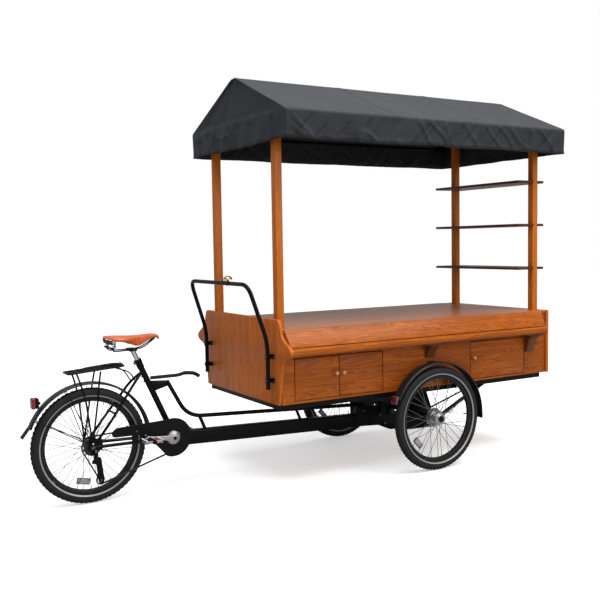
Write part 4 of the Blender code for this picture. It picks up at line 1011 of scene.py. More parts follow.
def endProfile():
    # the end board swells out round the ledge: half width and height from the bottom up
    low = [(wallOut - 0.009, cabinetBottom), (wallOut + 0.004, cabinetBottom + 0.090),
           (wallOut + 0.020, ledgeTop - 0.121), (wallOut + 0.034, ledgeTop - 0.070),
           (wallOut + 0.057, ledgeTop - 0.047),
           (ledgeOut - 0.026, ledgeTop - 0.035), (ledgeOut + 0.003, ledgeTop - 0.016),
           (ledgeOut + 0.004, ledgeTop + 0.006), (ledgeOut - 0.025, ledgeTop + 0.027),
           (wallOut + 0.058, ledgeTop + 0.052),
           (wallOut + 0.026, cabinetTop - 0.080), (wallOut + 0.012, cabinetTop - 0.039),
           (wallOut + 0.001, cabinetTop - 0.012), (wallOut - 0.016, cabinetTop)]
    return [(p.x, p.y) for p in through([(y, z, 0) for y, z in low], 4)]


bm = bmesh.new()
half = endProfile()
plate(bm, half + [(-y, z) for y, z in reversed(half)], 0, cabinetRear, cabinetRear + boardFacts["end"],
      boardFacts["ease"], 2, angle=50)
finish("rear_end_board", bm, [woodEnd], "steered_front", ["rear_end_panel"], angle=40)

doorKnobs = {1: (1, -0.025), 2: (0, 0.018), 3: (0, 0.018)}
for side, label in ((-1, "right"), (1, "left")):
    for number, (end, inset) in doorKnobs.items():
        low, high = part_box(f"door_{number}_{label}")
        inner, outer = side * (wallOut - 0.018), side * wallOut
        knobX = (low.x, high.x)[end] + inset
        bm = bmesh.new()
        board(bm, (low.x, inner, low.z), (high.x, outer, high.z), 0.0016, 2)
        knob = [(0.0, 0.0272), (0.0045, 0.0270), (0.0085, 0.0256), (0.0110, 0.0225), (0.0115, 0.0190),
                (0.0100, 0.0155), (0.0070, 0.0122), (0.0056, 0.0090), (0.0058, 0.0050), (0.0078, 0.0012),
                (0.0078, 0.0)]
        turned(bm, [(r, side * y) for r, y in knob], (knobX, outer, high.z - 0.096), 1, 24, closed=False, slot=1)
        finish(f"door_leaf_{number}_{label}", bm, [(woodDoorA, woodDoorB)[number % 2], knobWood],
               f"door_body_{number}_{label}", [f"door_{number}_{label}"], angle=30)

    # sloped apron, ledge with a rounded nose, and the corbels under it
    low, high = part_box(f"fascia_{label}")
    bm = bmesh.new()
    top = counterHigh.z
    apron = [(counterHigh.y + 0.0014, top), (counterHigh.y + 0.022, top), (ledgeOut - 0.0235, ledgeTop + 0.020),
             (ledgeOut - 0.0440, ledgeTop + 0.0150), (counterHigh.y + 0.0014, top - 0.021)]
    plate(bm, [(side * y, z) for y, z in apron], 0, low.x, high.x, 0.0022, 2, angle=20)
    under = ledgeTop - 0.026
    nose = [(wallOut + gap, under + 0.0004), (ledgeOut - 0.016, under + 0.0004), (ledgeOut - 0.006, under + 0.0045),
            (ledgeOut - 0.0008, under + 0.0120), (ledgeOut, ledgeTop - 0.006), (ledgeOut - 0.0008, ledgeTop + 0.006),
            (ledgeOut - 0.008, ledgeTop + 0.0128), (ledgeOut - 0.020, ledgeTop + 0.0165),
            (ledgeOut - 0.0435, ledgeTop + 0.0145), (ledgeOut - 0.0450, under + 0.018),
            (wallOut + gap, under + 0.018)]
    plate(bm, [(side * y, z) for y, z in nose], 0, low.x, high.x, 0.0, 2)
    # the front ends are cut back at an angle, flush with the edge of the end board
    back, reach = ledgeOut - counterHigh.y, 0.052
    bmesh.ops.bisect_plane(bm, geom=[*bm.verts, *bm.edges, *bm.faces], dist=1e-6,
                           plane_co=(high.x, side * counterHigh.y, 0),
                           plane_no=(back, side * reach, 0), clear_outer=True)
    bmesh.ops.holes_fill(bm, edges=[e for e in bm.edges if e.is_boundary], sides=0)
    wall = wallOut + gap
    for left, right, fall, wing in ((frontAxle - 0.040, frontAxle + 0.026, 0.118, 0.064),
                                    (cabinetFront - 0.205, cabinetFront - 0.141, 0.150, 0.060)):
        foot = ledgeTop - fall
        stem = [(wall, foot), (wall + 0.016, foot), (wall + 0.021, foot + 0.014), (wall + 0.028, foot + 0.034),
                (wall + 0.044, under - 0.040), (wall + 0.062, under - 0.026), (wall + 0.083, under - 0.018),
                (wall + 0.085, under - 0.001), (wall, under - 0.001)]
        plate(bm, [(side * y, z) for y, z in stem], 0, left, right, 0.0025, 2, 1)
        cap = [(left - wing, under), (left - wing, under - 0.008), (left - wing * 0.55, under - 0.013),
               (left + 0.002, under - 0.021), (right - 0.002, under - 0.021), (right + wing * 0.55, under - 0.013),
               (right + wing, under - 0.008), (right + wing, under)]
        y0, y1 = side * (wall + 0.001), side * (wall + 0.080)
        plate(bm, cap, 1, y0, y1, 0.002, 2, 1)
    finish(f"apron_{label}", bm, [woodAlong, woodCorbelShade], "steered_front", [f"fascia_{label}"],
           angle=30)

# posts, rails and rafters that carry the roof
bm = bmesh.new()
size = boardFacts["post"] / 2
clothUnder = canopyHigh.z - 0.0044
slope = canopyFacts["rise"] / canopyHigh.y
rafterTop = clothUnder - 0.0225
edge = canopyHigh.y - 0.020
railBack, railFront = canopyLow.x + 0.020, canopyHigh.x - 0.020
for x in posts.values():
    for y in (-postY, postY):
        board(bm, (x - size, y - size, floorTop + gap), (x + size, y + size, frameTop), 0.003, 3)
for y in (-postY, postY):
    board(bm, (railBack, y - 0.015, frameTop - 0.050), (railFront, y + 0.015, frameTop - 0.004), 0.002, 2, 1)
for x in posts.values():
    board(bm, (x - 0.014, -postY, frameTop - 0.049), (x + 0.014, postY, frameTop - 0.006), 0.002, 2, 1)
    board(bm, (x - 0.012, -0.014, frameTop - 0.040), (x + 0.012, 0.014, rafterTop), 0.002, 2)
    for foot in (-edge, edge):
        start = mark(bm)
        reach = math.hypot(edge, slope * edge)
        board(bm, (-0.013, 0, -0.014), (0.013, reach, 0.014), 0.002, 2, 1)
        verts = newVerts(bm, start)
        lean = math.atan(slope)
        bmesh.ops.rotate(bm, cent=(0, 0, 0), matrix=Matrix.Rotation(-lean, 3, "X"), verts=verts)
        if foot < 0:
            bmesh.ops.rotate(bm, cent=(0, 0, 0), matrix=Matrix.Rotation(math.pi, 3, "Z"), verts=verts)
        bmesh.ops.translate(bm, vec=(x, 0, rafterTop), verts=verts)
board(bm, (railBack, -0.011, rafterTop - 0.034), (railFront, 0.011, rafterTop + 0.004), 0.002, 2, 1)
for y in (-edge, edge):
    z = rafterTop - slope * edge
    tube(bm, [(railBack, y, z), (railFront, y, z)], 0.0085, 12, 1)
finish("canopy_timber", bm, [woodPost, framePaint], "steered_front", ["canopy_frame"],
       angle=30)

for number in (1, 2, 3):
    low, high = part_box(f"shelf_{number}")
    bm = bmesh.new()
    x = posts["front"]
    notch = postY - size - gap
    corner = [(low.x, high.y), (x - size - gap, high.y), (x - size - gap, notch), (x + size + gap, notch),
              (x + size + gap, high.y), (high.x, high.y)]
    plate(bm, corner + [(a, -b) for a, b in reversed(corner)], 2, low.z, high.z, 0.0022, 2, angle=50)
    finish(f"shelf_board_{number}", bm, [woodShelf], "steered_front", [f"shelf_{number}"], angle=30)

# canopy
print("canopy")


def clothSection():
    # half of the roof's section from the hem up to the ridge: pairs of half width and height
    half = canopyHigh.y - canopyFacts["inset"]
    ridge = canopyHigh.z - canopyFacts["inset"]
    eave = ridge - canopyFacts["rise"]
    hem = canopyLow.z
    count = canopyFacts["skirtRows"]
    rows = [hem, hem + canopyFacts["hem"] - 0.002, hem + canopyFacts["hem"] + 0.002]
    rows += [rows[-1] + (eave - rows[-1]) * (k + 1) / (count - 2) for k in range(count - 2)]
    section = [(half, z) for z in rows]
    slopes = canopyFacts["slopeRows"]
    section += [(half * (1 - (k + 1) / slopes), eave + (ridge - eave) * (k + 1) / slopes) for k in range(slopes)]
    return section, eave, ridge


def clothColumns():
    # places along the roof, closer together at the seams and ends
    back, front = canopyLow.x + canopyFacts["inset"], canopyHigh.x - canopyFacts["inset"]
    even = [back + (front - back) * k / canopyFacts["along"] for k in range(canopyFacts["along"] + 1)]
    for share in canopyFacts["seams"]:
        seam = back + (front - back) * share
        even = [x for x in even if abs(x - seam) > 0.016] + [seam + d for d in (-0.013, -0.010, -0.003, 0.0, 0.004)]
    return sorted(even)


def makeCanopy():
    bm = bmesh.new()
    section, eave, ridge = clothSection()
    whole = [(-y, z) for y, z in section] + [(y, z) for y, z in reversed(section[:-1])]
    columns = clothColumns()
    # roof and side skirts in one grid, then a gable at each end, welded along its edges
    grid = bmesh.ops.create_grid(bm, x_segments=len(columns) - 1, y_segments=len(whole) - 1, size=0.5)
    for vert in grid["verts"]:
        i = round((vert.co.x + 0.5) * (len(columns) - 1))
        k = round((vert.co.y + 0.5) * (len(whole) - 1))
        vert.co = Vector((columns[i], *whole[k]))
    for x in (columns[0], columns[-1]):
        grid = bmesh.ops.create_grid(bm, x_segments=canopyFacts["across"], y_segments=len(section) - 1, size=0.5)
        for vert in grid["verts"]:
            half, z = section[round((vert.co.y + 0.5) * (len(section) - 1))]
            vert.co = Vector((x, half * 2 * vert.co.x, z))
    bmesh.ops.remove_doubles(bm, verts=bm.verts, dist=1e-5)
    bmesh.ops.recalc_face_normals(bm, faces=bm.faces)
    if sum(f.normal.z * f.calc_area() for f in bm.faces) < 0:
        bmesh.ops.reverse_faces(bm, faces=bm.faces)
    shapeCloth(bm, columns, eave, ridge)
    uv = bm.loops.layers.uv.new("cloth")
    for face in bm.faces:
        way = face.normal
        for loop in face.loops:
            p = loop.vert.co
            if abs(way.x) > 0.7:
                loop[uv].uv = (p.y, p.z)
            elif abs(way.y) > 0.8:
                loop[uv].uv = (p.x, p.z)
            else:
                loop[uv].uv = (p.x, p.y * 1.09)
    return bm


def shapeCloth(bm, columns, eave, ridge):
    facts = canopyFacts
    back, front = columns[0], columns[-1]
    length = front - back
    hem = canopyLow.z
    seams = [back + length * share for share in facts["seams"]]
    bm.normal_update()
    half = canopyHigh.y - facts["inset"]
    moves = {}
    for vert in bm.verts:
        p, way = vert.co, vert.normal
        ends = min(p.x - back, front - p.x)
        if p.z <= eave + 1e-5:
            # skirt, on the sides and under the gables
            down = (eave - p.z) / (eave - hem)
            corner = min(1.0, (ends + half - abs(p.y)) / 0.10)
            wave = noise.noise(Vector((p.x * 3.4, p.y * 3.4, p.z * 1.6 + 4.1)))
            small = noise.noise(Vector((p.x * 10.5 + p.z * 5.0, p.y * 10.5, p.z * 4.0)))
            pleat = math.sin((p.x + p.y) * 17.0 + 2.6 * math.sin((p.x - p.y) * 5.3) + down * 1.3)
            slant = noise.noise(Vector((p.x * 7.0 + p.z * 6.0, p.y * 7.0 - p.z * 4.0, 2.7)))
            crease = max(0.0, 1 - abs(slant) * 7.0) ** 1.4
            cross = max(0.0, 1 - abs(noise.noise(Vector((p.x * 9.0 - p.z * 9.0, p.y * 9.0, 7.7)))) * 8.0) ** 1.4
            push = facts["fold"] * (wave * 0.9 + small * 0.6 + pleat * 0.30) * (0.2 + 0.8 * down) * corner
            push += 0.0105 * (crease - 0.7 * cross) * min(1.0, down * 4.0 + 0.25) * corner
            lean = -0.006 * down
            ground = Vector((way.x, way.y, 0.0))
            step = ground.normalized() * (push + lean) if ground.length > 1e-4 else Vector()
            step.z = 0.0085 * noise.noise(Vector((p.x * 3.1, p.y * 3.1, 9.0))) * down ** 2
            if p.z < hem + facts["hem"]:
                step += ground.normalized() * 0.0009
            moves[vert] = step
        elif ends < 1e-5:
            # gable: slack cloth with folds that run down from the ridge towards the corners
            t = (p.z - eave) / (ridge - eave)
            edge = max(0.0, 1 - abs(p.y) / max(half * (1 - t), 1e-4))
            radial = math.atan2(abs(p.y), ridge - p.z + 0.02)
            folds = math.sin(radial * 9.0 + noise.noise(Vector((p.y * 2.5, p.z * 3, 2.0))) * 3.4)
            wave = noise.noise(Vector((p.y * 3.0, p.z * 3.6, 6.0 + p.x)))
            push = (0.0026 * folds * (1 - t) + 0.012 * wave - 0.009) * min(1.0, edge * 3.5)
            moves[vert] = Vector((math.copysign(1.0, way.x) * push, 0.0, 0.0))
        else:
            t = (p.z - eave) / (ridge - eave)
            bays = 0.5 - 0.5 * math.cos(math.tau * 3 * (p.x - back) / length)
            ripple = noise.noise(Vector((p.x * 2.1, p.y * 4.2, 1.0)))
            tug = noise.noise(Vector((p.x * 7.0 + p.y * 3.0, p.y * 5.0, 3.0)))
            belly = math.sin(math.pi * min(1.0, t)) ** 0.8
            near = (1 - min(1.0, t * 2.2)) ** 1.5
            strain = max(0.0, 1 - abs(noise.noise(Vector((p.x * 6.5, p.y * 2.0, 8.3)))) * 7.0) ** 1.5
            push = -facts["sag"] * bays * belly + (0.0048 * ripple + 0.0022 * tug) * belly
            push += 0.0065 * strain * near * min(1.0, t * 12)
            for seam in seams:
                push += 0.0026 if -0.0125 < p.x - seam < 0.0005 else 0.0
            moves[vert] = way * push
    for vert, step in moves.items():
        vert.co += step
    inner = [v for v in bm.verts if not v.is_boundary]
    creased = [v for v in inner if abs(v.co.z - eave) < 0.02 or v.co.z > ridge - 0.02 or abs(v.co.x - back) < 0.02
               or abs(v.co.x - front) < 0.02]
    for turn in range(2):
        bmesh.ops.smooth_vert(bm, verts=creased, factor=0.45, use_axis_x=True, use_axis_y=True, use_axis_z=True)
    bm.normal_update()


bm = makeCanopy()
mesh = bpy.data.meshes.new("canopy_sheet")
bm.to_mesh(mesh)
bm.free()
canopySheet = bpy.data.objects.new("canopy_sheet", mesh)
bpy.context.scene.collection.objects.link(canopySheet)
mesh.materials.append(canopyCloth)
mesh.shade_smooth()
wall = canopySheet.modifiers.new("cloth", "SOLIDIFY")
wall.thickness = canopyFacts["cloth"]
wall.offset = -1.0
wall.use_even_offset = True
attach(canopySheet, "steered_front")
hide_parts("canopy_cloth")
drop = canopyHigh.z - canopyFacts["rise"] - canopyLow.z

# saddle
print("saddle")
saddleFacts = {"length": 0.300, "shell": 0.0042, "rivet": 0.0048, "rail": 0.0035}
tail, top = saddleLow.x, saddleHigh.z


def saddleTop(x):
    # height of the leather along its middle line
    s = (x - tail) / saddleFacts["length"]
    hollow = 0.0075 * math.sin(math.pi * min(1, s * 1.05)) ** 2 * 0.6
    return top - 0.0015 - hollow - 0.006 * max(0.0, s - 0.85) / 0.15


def saddleHalf(s):
    # half width along the saddle, from its rear edge to its nose
    marks = [(0.0, 0.076), (0.05, 0.092), (0.12, 0.1005), (0.22, 0.1025), (0.32, 0.090), (0.42, 0.066), (0.52, 0.045),
             (0.64, 0.0315), (0.78, 0.0255), (0.90, 0.0225), (0.97, 0.0170), (1.0, 0.0090)]
    for (a, p), (b, q) in zip(marks, marks[1:]):
        if s <= b:
            t = (s - a) / (b - a)
            t = t * t * (3 - 2 * t)
            return p + (q - p) * t
    return marks[-1][1]


bm = bmesh.new()
alongCount, acrossCount = 44, 28
grid = bmesh.ops.create_grid(bm, x_segments=alongCount, y_segments=acrossCount, size=0.5)
for vert in grid["verts"]:
    s = vert.co.x + 0.5
    w = vert.co.y * 2
    half = saddleHalf(s)
    x = tail + saddleFacts["length"] * s
    skirt = 0.011 + 0.037 * math.exp(-((s - 0.57) / 0.22) ** 2)
    # over the crown to 62% of the section, then down the skirt
    turn = abs(w) / 0.62
    crown = 0.0075 * (half / 0.10)
    if turn <= 1:
        y = half * math.sin(turn * math.pi / 2 * 0.92) / math.sin(math.pi / 2 * 0.92)
        z = saddleTop(x) - crown * (1 - math.cos(turn * math.pi / 2)) - 0.004 * turn ** 4
    else:
        t = (abs(w) - 0.62) / 0.38
        y = half * (1 - 0.04 * t - 0.10 * t * t) + 0.0020 * math.sin(math.pi * t)
        z = saddleTop(x) - crown - 0.004 - skirt * (t ** 0.9)
    dish = 0.0045 * math.exp(-((s - 0.30) / 0.2) ** 2) * math.exp(-(y / 0.018) ** 2)
    vert.co = Vector((x, math.copysign(y, w) if w else 0.0, z - dish))
# rear edge rolls down to the cantle plate, the nose wraps round
for vert in bm.verts:
    s = (vert.co.x - tail) / saddleFacts["length"]
    if s < 0.05:
        vert.co.z -= 0.010 * (1 - s / 0.05) ** 1.5
        vert.co.x += 0.0095 * (vert.co.y / 0.076) ** 2 * (1 - s / 0.05)
    if s > 0.93:
        t = (s - 0.93) / 0.07
        vert.co.z -= 0.014 * t ** 2
bmesh.ops.smooth_vert(bm, verts=[v for v in bm.verts if not v.is_boundary], factor=0.4, use_axis_x=True,
                      use_axis_y=True, use_axis_z=True)
uv = bm.loops.layers.uv.new("leather")
for face in bm.faces:
    for loop in face.loops:
        loop[uv].uv = (loop.vert.co.x, loop.vert.co.y)
bmesh.ops.recalc_face_normals(bm, faces=bm.faces)
if sum(f.normal.z * f.calc_area() for f in bm.faces) < 0:
    bmesh.ops.reverse_faces(bm, faces=bm.faces)
leatherArea = sum(f.calc_area() for f in bm.faces)
mesh = bpy.data.meshes.new("saddle_leather_top")
bm.to_mesh(mesh)
bm.free()
saddleSheet = bpy.data.objects.new("saddle_leather_top", mesh)
bpy.context.scene.collection.objects.link(saddleSheet)
mesh.materials.append(saddleLeather)
mesh.shade_smooth()
wall = saddleSheet.modifiers.new("leather", "SOLIDIFY")
wall.thickness = saddleFacts["shell"]
wall.offset = -1.0
rounding = saddleSheet.modifiers.new("edge", "BEVEL")
rounding.width, rounding.segments, rounding.limit_method = 0.0011, 2, "ANGLE"
rounding.angle_limit = math.radians(50)
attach(saddleSheet, "rear_frame")
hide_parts("saddle_cover")

# rivets along the rear edge and on the nose
bm = bmesh.new()
rivets = []
for k in range(5):
    y = (k - 2) * 0.030
    rivets.append((tail + 0.012 + 0.10 * y * y * 6, y, saddleTop(tail) - 0.0075 - 0.9 * y * y))
rivets += [(tail + 0.284, y, saddleTop(tail + 0.284) - 0.0060) for y in (0.0085, -0.0085)]
for x, y, z in rivets:
    head = saddleFacts["rivet"]
    turned(bm, [(0.0, 0.0026), (0.0024, 0.0022), (0.0042, 0.0012), (head, 0.0), (head, -0.0020), (0.0, -0.0020)],
           (x, y, z), 2, 16, closed=False)
rivetHeads = finish("saddle_rivets", bm, [copperRivet], "rear_frame", angle=40)

bm = bmesh.new()
railZ = top - 0.082
board(bm, (tail + 0.120, -0.034, railZ - 0.007), (tail + 0.165, 0.034, railZ + 0.008), 0.004, 3)
rod(bm, (tail + 0.1425, 0, railZ), 0.0050, -0.043, 0.043, 1, 6, 0.001, slot=1)
board(bm, (tail + 0.010, -0.072, top - 0.043), (tail + 0.017, 0.072, top - 0.022), 0.002, 2)
board(bm, (tail + 0.012, -0.070, top - 0.067), (tail + 0.024, 0.070, top - 0.059), 0.0015, 2)
for side in (-1, 1):
    rail = [(tail + 0.018, side * 0.060, top - 0.064), (tail + 0.030, side * 0.040, railZ),
            (tail + 0.120, side * 0.024, railZ), (tail + 0.200, side * 0.019, railZ + 0.006),
            (tail + 0.276, side * 0.008, top - 0.026)]
    tube(bm, curved(rail, 0.03, 6), saddleFacts["rail"], 12)
    # coil springs under the rear edge
    coil = []
    for k in range(37):
        angle = math.tau * 4 * k / 36
        coil.append((tail + 0.026 + 0.0105 * math.cos(angle), side * 0.058 + 0.0105 * math.sin(angle),
                     top - 0.062 + 0.034 * k / 36))
    tube(bm, coil, 0.0021, 8)
finish("saddle_frame", bm, [framePaint, boltSteel], "rear_frame", ["saddle_rails"], angle=35)

# fenders, rack and lamp
print("fenders and rack")
fenderFacts = {"gap": 0.027}
fenderOuter = wheelRadius + fenderFacts["gap"] + 0.003


def fenderSection():
    # outline of the fender's section: depth inwards and half width, round the outside and back inside
    half = [(0.0, 0.0), (0.0, 0.012), (0.0006, 0.0200), (0.0025, 0.0262), (0.0060, 0.0300), (0.0105, 0.0315),
            (0.0122, 0.0305), (0.0120, 0.0290), (0.0066, 0.0276), (0.0042, 0.0245), (0.0026, 0.0190), (0.0022, 0.0)]
    outer, inner = half[:7], half[7:]
    section = [(fenderOuter - d, y) for d, y in outer] + [(fenderOuter - d, y) for d, y in inner]
    section += [(fenderOuter - d, -y) for d, y in [*reversed(inner[:-1]), *reversed(outer[1:])]]
    return section


def onFender(centre, angle, outwards, y=0.0):
    reach = fenderOuter + outwards
    return Vector((centre.x + reach * math.cos(math.radians(angle)), centre.y + y,
                   centre.z + reach * math.sin(math.radians(angle))))


bm = bmesh.new()
turned(bm, fenderSection(), rearWheel, 1, 64, 9, 149)
flapTop = onFender(rearWheel, 157.4, -0.002)
start = mark(bm)
board(bm, (-0.0016, -0.029, -0.062), (0.0016, 0.029, 0.004), 0.0012, 2, 1)
verts = newVerts(bm, start)
bmesh.ops.rotate(bm, cent=(0, 0, 0), matrix=Matrix.Rotation(math.atan2(0.038, 0.048), 3, "Y"), verts=verts)
bmesh.ops.translate(bm, vec=flapTop, verts=verts)
for angle in (112, 150):
    for side in (-1, 1):
        stay = [onFender(rearWheel, angle, -0.010, side * 0.0325),
                onFender(rearWheel, angle - 1, -0.05, side * 0.0400),
                Vector((rearX - 0.006, side * 0.0715, wheelRadius + 0.008))]
        tube(bm, curved(stay, 0.02, 4), 0.0026, 8, 1)
        knob = onFender(rearWheel, angle, -0.010, side * 0.0325)
        rod(bm, (knob.x, 0, knob.z), 0.0050, side * 0.0295, side * 0.0355, 1, 6,
            0.0008, slot=2)
finish("rear_fender_shell", bm, [fenderPlastic, guardPlastic, boltSteel], "rear_frame", ["rear_fender"],
       angle=35)

for side, label in ((-1, "right"), (1, "left")):
    centre = frontWheel[label]
    bm = bmesh.new()
    turned(bm, fenderSection(), centre, 1, 64, -2, 156)
    inner, wall = side * (abs(centre.y) - 0.026), side * (wallOut + gap)
    board(bm, (frontAxle - 0.020, inner, 2 * wheelRadius + 0.0145),
          (frontAxle + 0.020, wall, 2 * wheelRadius + 0.0240), 0.0015, 2, 2)
    for x in (-0.011, 0.011):
        rod(bm, (frontAxle + x, side * (wallOut + 0.016), 0), 0.0055, 2 * wheelRadius + 0.0235,
            2 * wheelRadius + 0.0290, 2, 6, 0.0008, slot=3)
    # rear end: grey housing with its red reflector
    start = mark(bm)
    board(bm, (-0.006, -0.026, -0.0310), (0.0030, 0.026, 0.0160), 0.003, 3, 1)
    board(bm, (-0.0090, -0.0215, -0.0265), (-0.0050, 0.0215, 0.0115), 0.002, 2, 4)
    verts = newVerts(bm, start)
    spot = onFender(centre, 154.5, 0.003)
    bmesh.ops.rotate(bm, cent=(0, 0, 0), matrix=Matrix.Rotation(math.radians(22), 3, "Y"), verts=verts)
    bmesh.ops.translate(bm, vec=spot, verts=verts)
    # mudflap at the front end
    start = mark(bm)
    board(bm, (-0.0014, -0.027, -0.030), (0.0014, 0.027, 0.006), 0.001, 2, 2)
    verts = newVerts(bm, start)
    bmesh.ops.translate(bm, vec=onFender(centre, -1.0, -0.003), verts=verts)
    finish(f"front_fender_shell_{label}", bm, [fenderPlastic, greyPlastic, guardPlastic, boltSteel, redLens],
           "steered_front", [f"front_fender_{label}"], angle=35)

rackFacts = {"rail": 0.0050, "leg": 0.0050, "back": -0.118, "front": 0.188, "low": 0.084, "rise": 0.020,
             "side": 0.052}
rackBack, rackFront = rearX + rackFacts["back"], rearX + rackFacts["front"]
rackLow, rackSide = 2 * wheelRadius + rackFacts["low"], rackFacts["side"]


def onRack(x, y, up=0.0):
    return Vector((x, y, rackLow + up + rackFacts["rise"] * (x - rackBack) / (rackFront - rackBack)))


bm = bmesh.new()
rim = [onRack(rackBack + 0.004, 0), onRack(rackBack + 0.004, 0.045), onRack(rackBack + 0.014, rackSide),
       onRack(rackFront - 0.012, rackSide), onRack(rackFront, 0.040), onRack(rackFront, 0.0)]
outline = rim + [Vector((p.x, -p.y, p.z)) for p in reversed(rim[:-1])]
tube(bm, curved(outline, 0.016, 4), rackFacts["rail"], 12)
tube(bm, [onRack(rackBack, 0), onRack(rackFront, 0)], 0.0042, 10)
for x in (rackBack + 0.055, rackBack + 0.110, rackBack + 0.205):
    tube(bm, [onRack(x, -rackSide), onRack(x, rackSide)], 0.0040, 10)
for side in (-1, 1):
    y = side * rackSide
    for up, knee, foot, lift in ((0.046, 0.086, -0.006, 0.018), (0.174, 0.150, -0.004, 0.026)):
        leg = [(rackBack + up, y, rackLow + 0.002),
               (rackBack + up + (knee - up) * 0.5, side * 0.057, rackLow - 0.060),
               (rackBack + knee, side * 0.068, rackLow - 0.144), (rearX + foot, side * 0.0760, wheelRadius + lift)]
        tube(bm, curved(leg, 0.03, 4), rackFacts["leg"], 10)
    strut = [(rackFront - 0.060, y, rackLow + 0.016), (rackFront + 0.026, y, rackLow - 0.014),
             (rackFront + 0.062, side * 0.0480, rackLow - 0.076)]
    tube(bm, curved(strut, 0.03, 5), 0.0036, 10)
    eye = Vector((rearX - 0.005, 0, wheelRadius + 0.022))
    rod(bm, eye, 0.0100, side * 0.070, side * 0.080, 1, 20, 0.0012)
    rod(bm, eye, 0.0056, side * 0.079, side * 0.0835, 1, 6, 0.0008, slot=1)
    # sprung luggage clip over the platform
    clip = [onRack(rackFront - 0.004, side * 0.018, 0.008), onRack(rackFront - 0.050, side * 0.021, 0.013),
            onRack(rackBack + 0.120, side * 0.027, 0.010), onRack(rackBack + 0.095, side * 0.022, 0.008),
            onRack(rackBack + 0.090, 0, 0.008)]
    tube(bm, curved(clip, 0.014, 4), 0.0024, 8)
coil = [onRack(rackFront - 0.004, -0.017 + 0.034 * k / 60, 0.008) + Vector((0.0058 * math.cos(math.tau * k / 6), 0,
        0.0058 * math.sin(math.tau * k / 6))) for k in range(61)]
tube(bm, coil, 0.0016, 6, 1)
finish("rear_rack_frame", bm, [framePaint, chromeSteel], "rear_frame", ["rear_rack"], angle=40)

# tail lamp: black housing, red lens, and the stay that holds it on the fender
low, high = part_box("tail_lamp")
spot = (low + high) / 2
bm = bmesh.new()
board(bm, (low.x, low.y, low.z), (spot.x + 0.001, high.y, high.z), 0.007, 4, 0)
board(bm, (spot.x, low.y + 0.0015, low.z + 0.002), (high.x, high.y - 0.0015, high.z - 0.002), 0.006, 4, 1)
for z in (-0.014, 0.0, 0.014):
    board(bm, (low.x - 0.0002, low.y + 0.006, spot.z + z - 0.0035),
          (low.x + 0.003, high.y - 0.006, spot.z + z + 0.0035), 0.001, 1, 0)
board(bm, (high.x - 0.004, spot.y - 0.0110, spot.z - 0.008), (high.x + 0.010, spot.y + 0.0110, spot.z + 0.006),
      0.002, 2, 1)
finish("tail_lamp_lens", bm, [redLens, guardPlastic], "rear_frame", ["tail_lamp"], angle=40)

# push bar and bell
print("push bar")
legX, topX = cabinetRear - 0.030, cabinetRear - 0.135
barSide, barTop = wallOut - 0.067, 1.145
bm = bmesh.new()
leg = [(legX, barSide, cabinetBottom + 0.087), (legX, barSide, barTop - 0.315), (topX, barSide - 0.015, barTop)]
path = [Vector(p) for p in leg] + [Vector((p[0], -p[1], p[2])) for p in reversed(leg)]
tube(bm, curved(path, 0.070, 9), 0.0115, 22)
for side in (-1, 1):
    foot = Vector((legX, side * barSide, cabinetBottom + 0.087))
    tube(bm, [foot + Vector((0, 0, -0.003)), foot + Vector((0, 0, 0.012))], 0.0122, 22, 1)
    for z in (cabinetBottom + 0.132, cabinetBottom + 0.262):
        spot = Vector((legX, side * barSide, z))
        tube(bm, [spot - Vector((0, 0, 0.012)), spot + Vector((0, 0, 0.012))], 0.0148, 24)
        board(bm, (legX, spot.y - 0.0095, z - 0.010), (cabinetRear - gap, spot.y + 0.0095, z + 0.010), 0.002, 2)
        board(bm, (cabinetRear - 0.0042, spot.y - 0.024, z - 0.013), (cabinetRear - gap, spot.y + 0.024, z + 0.013),
              0.0014, 2)
        for y in (-0.0175, 0.0175):
            rod(bm, (0, spot.y + y, z), 0.0046, cabinetRear - 0.0078, cabinetRear - 0.0040, 0, 6, 0.0008, slot=2)
        rod(bm, (legX - 0.0145, spot.y, z), 0.0040, spot.y - 0.008, spot.y + 0.008, 1, 8, 0.0006, slot=2)
finish("push_bar_tube", bm, [framePaint, guardPlastic, boltSteel], "steered_front", ["push_bar"],
       angle=35)

low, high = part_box("bell")
spot = (low + high) / 2
bm = bmesh.new()
dome = [(0.0, 0.0210)]
for k in range(1, 9):
    angle = math.pi / 2 * k / 8
    dome.append((0.0250 * math.sin(angle), 0.0040 + 0.0170 * math.cos(angle)))
dome += [(0.0260, 0.0030), (0.0262, 0.0010), (0.0250, 0.0), (0.0230, 0.0012), (0.0, 0.0100)]
turned(bm, [(r, z + low.z + 0.0095) for r, z in dome], (spot.x, spot.y, 0), 2, 40, closed=False)
turned(bm, [(0.0, low.z + 0.0320), (0.0030, low.z + 0.0316), (0.0042, low.z + 0.0302), (0.0, low.z + 0.0298)],
       (spot.x, spot.y, 0), 2, 16, closed=False, slot=1)
tube(bm, [(spot.x, spot.y, low.z + 0.0002), (spot.x, spot.y, low.z + 0.019)], 0.0058, 14, 1)
tube(bm, [(topX, spot.y - 0.008, barTop), (topX, spot.y + 0.008, barTop)], 0.0128, 20, 2)
tube(bm, curved([(spot.x - 0.006, spot.y + 0.004, low.z + 0.004), (spot.x - 0.020, spot.y + 0.014, low.z + 0.002),
                 (spot.x - 0.030, spot.y + 0.018, low.z + 0.004)], 0.01, 4), 0.0022, 8, 2)
finish("bell_dome", bm, [brass, boltSteel, guardPlastic], "steered_front", ["bell"], angle=40)


# finishes of the pieces kept as packed
def refinish(name, look):
    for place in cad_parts[name].material_slots:
        place.material = look


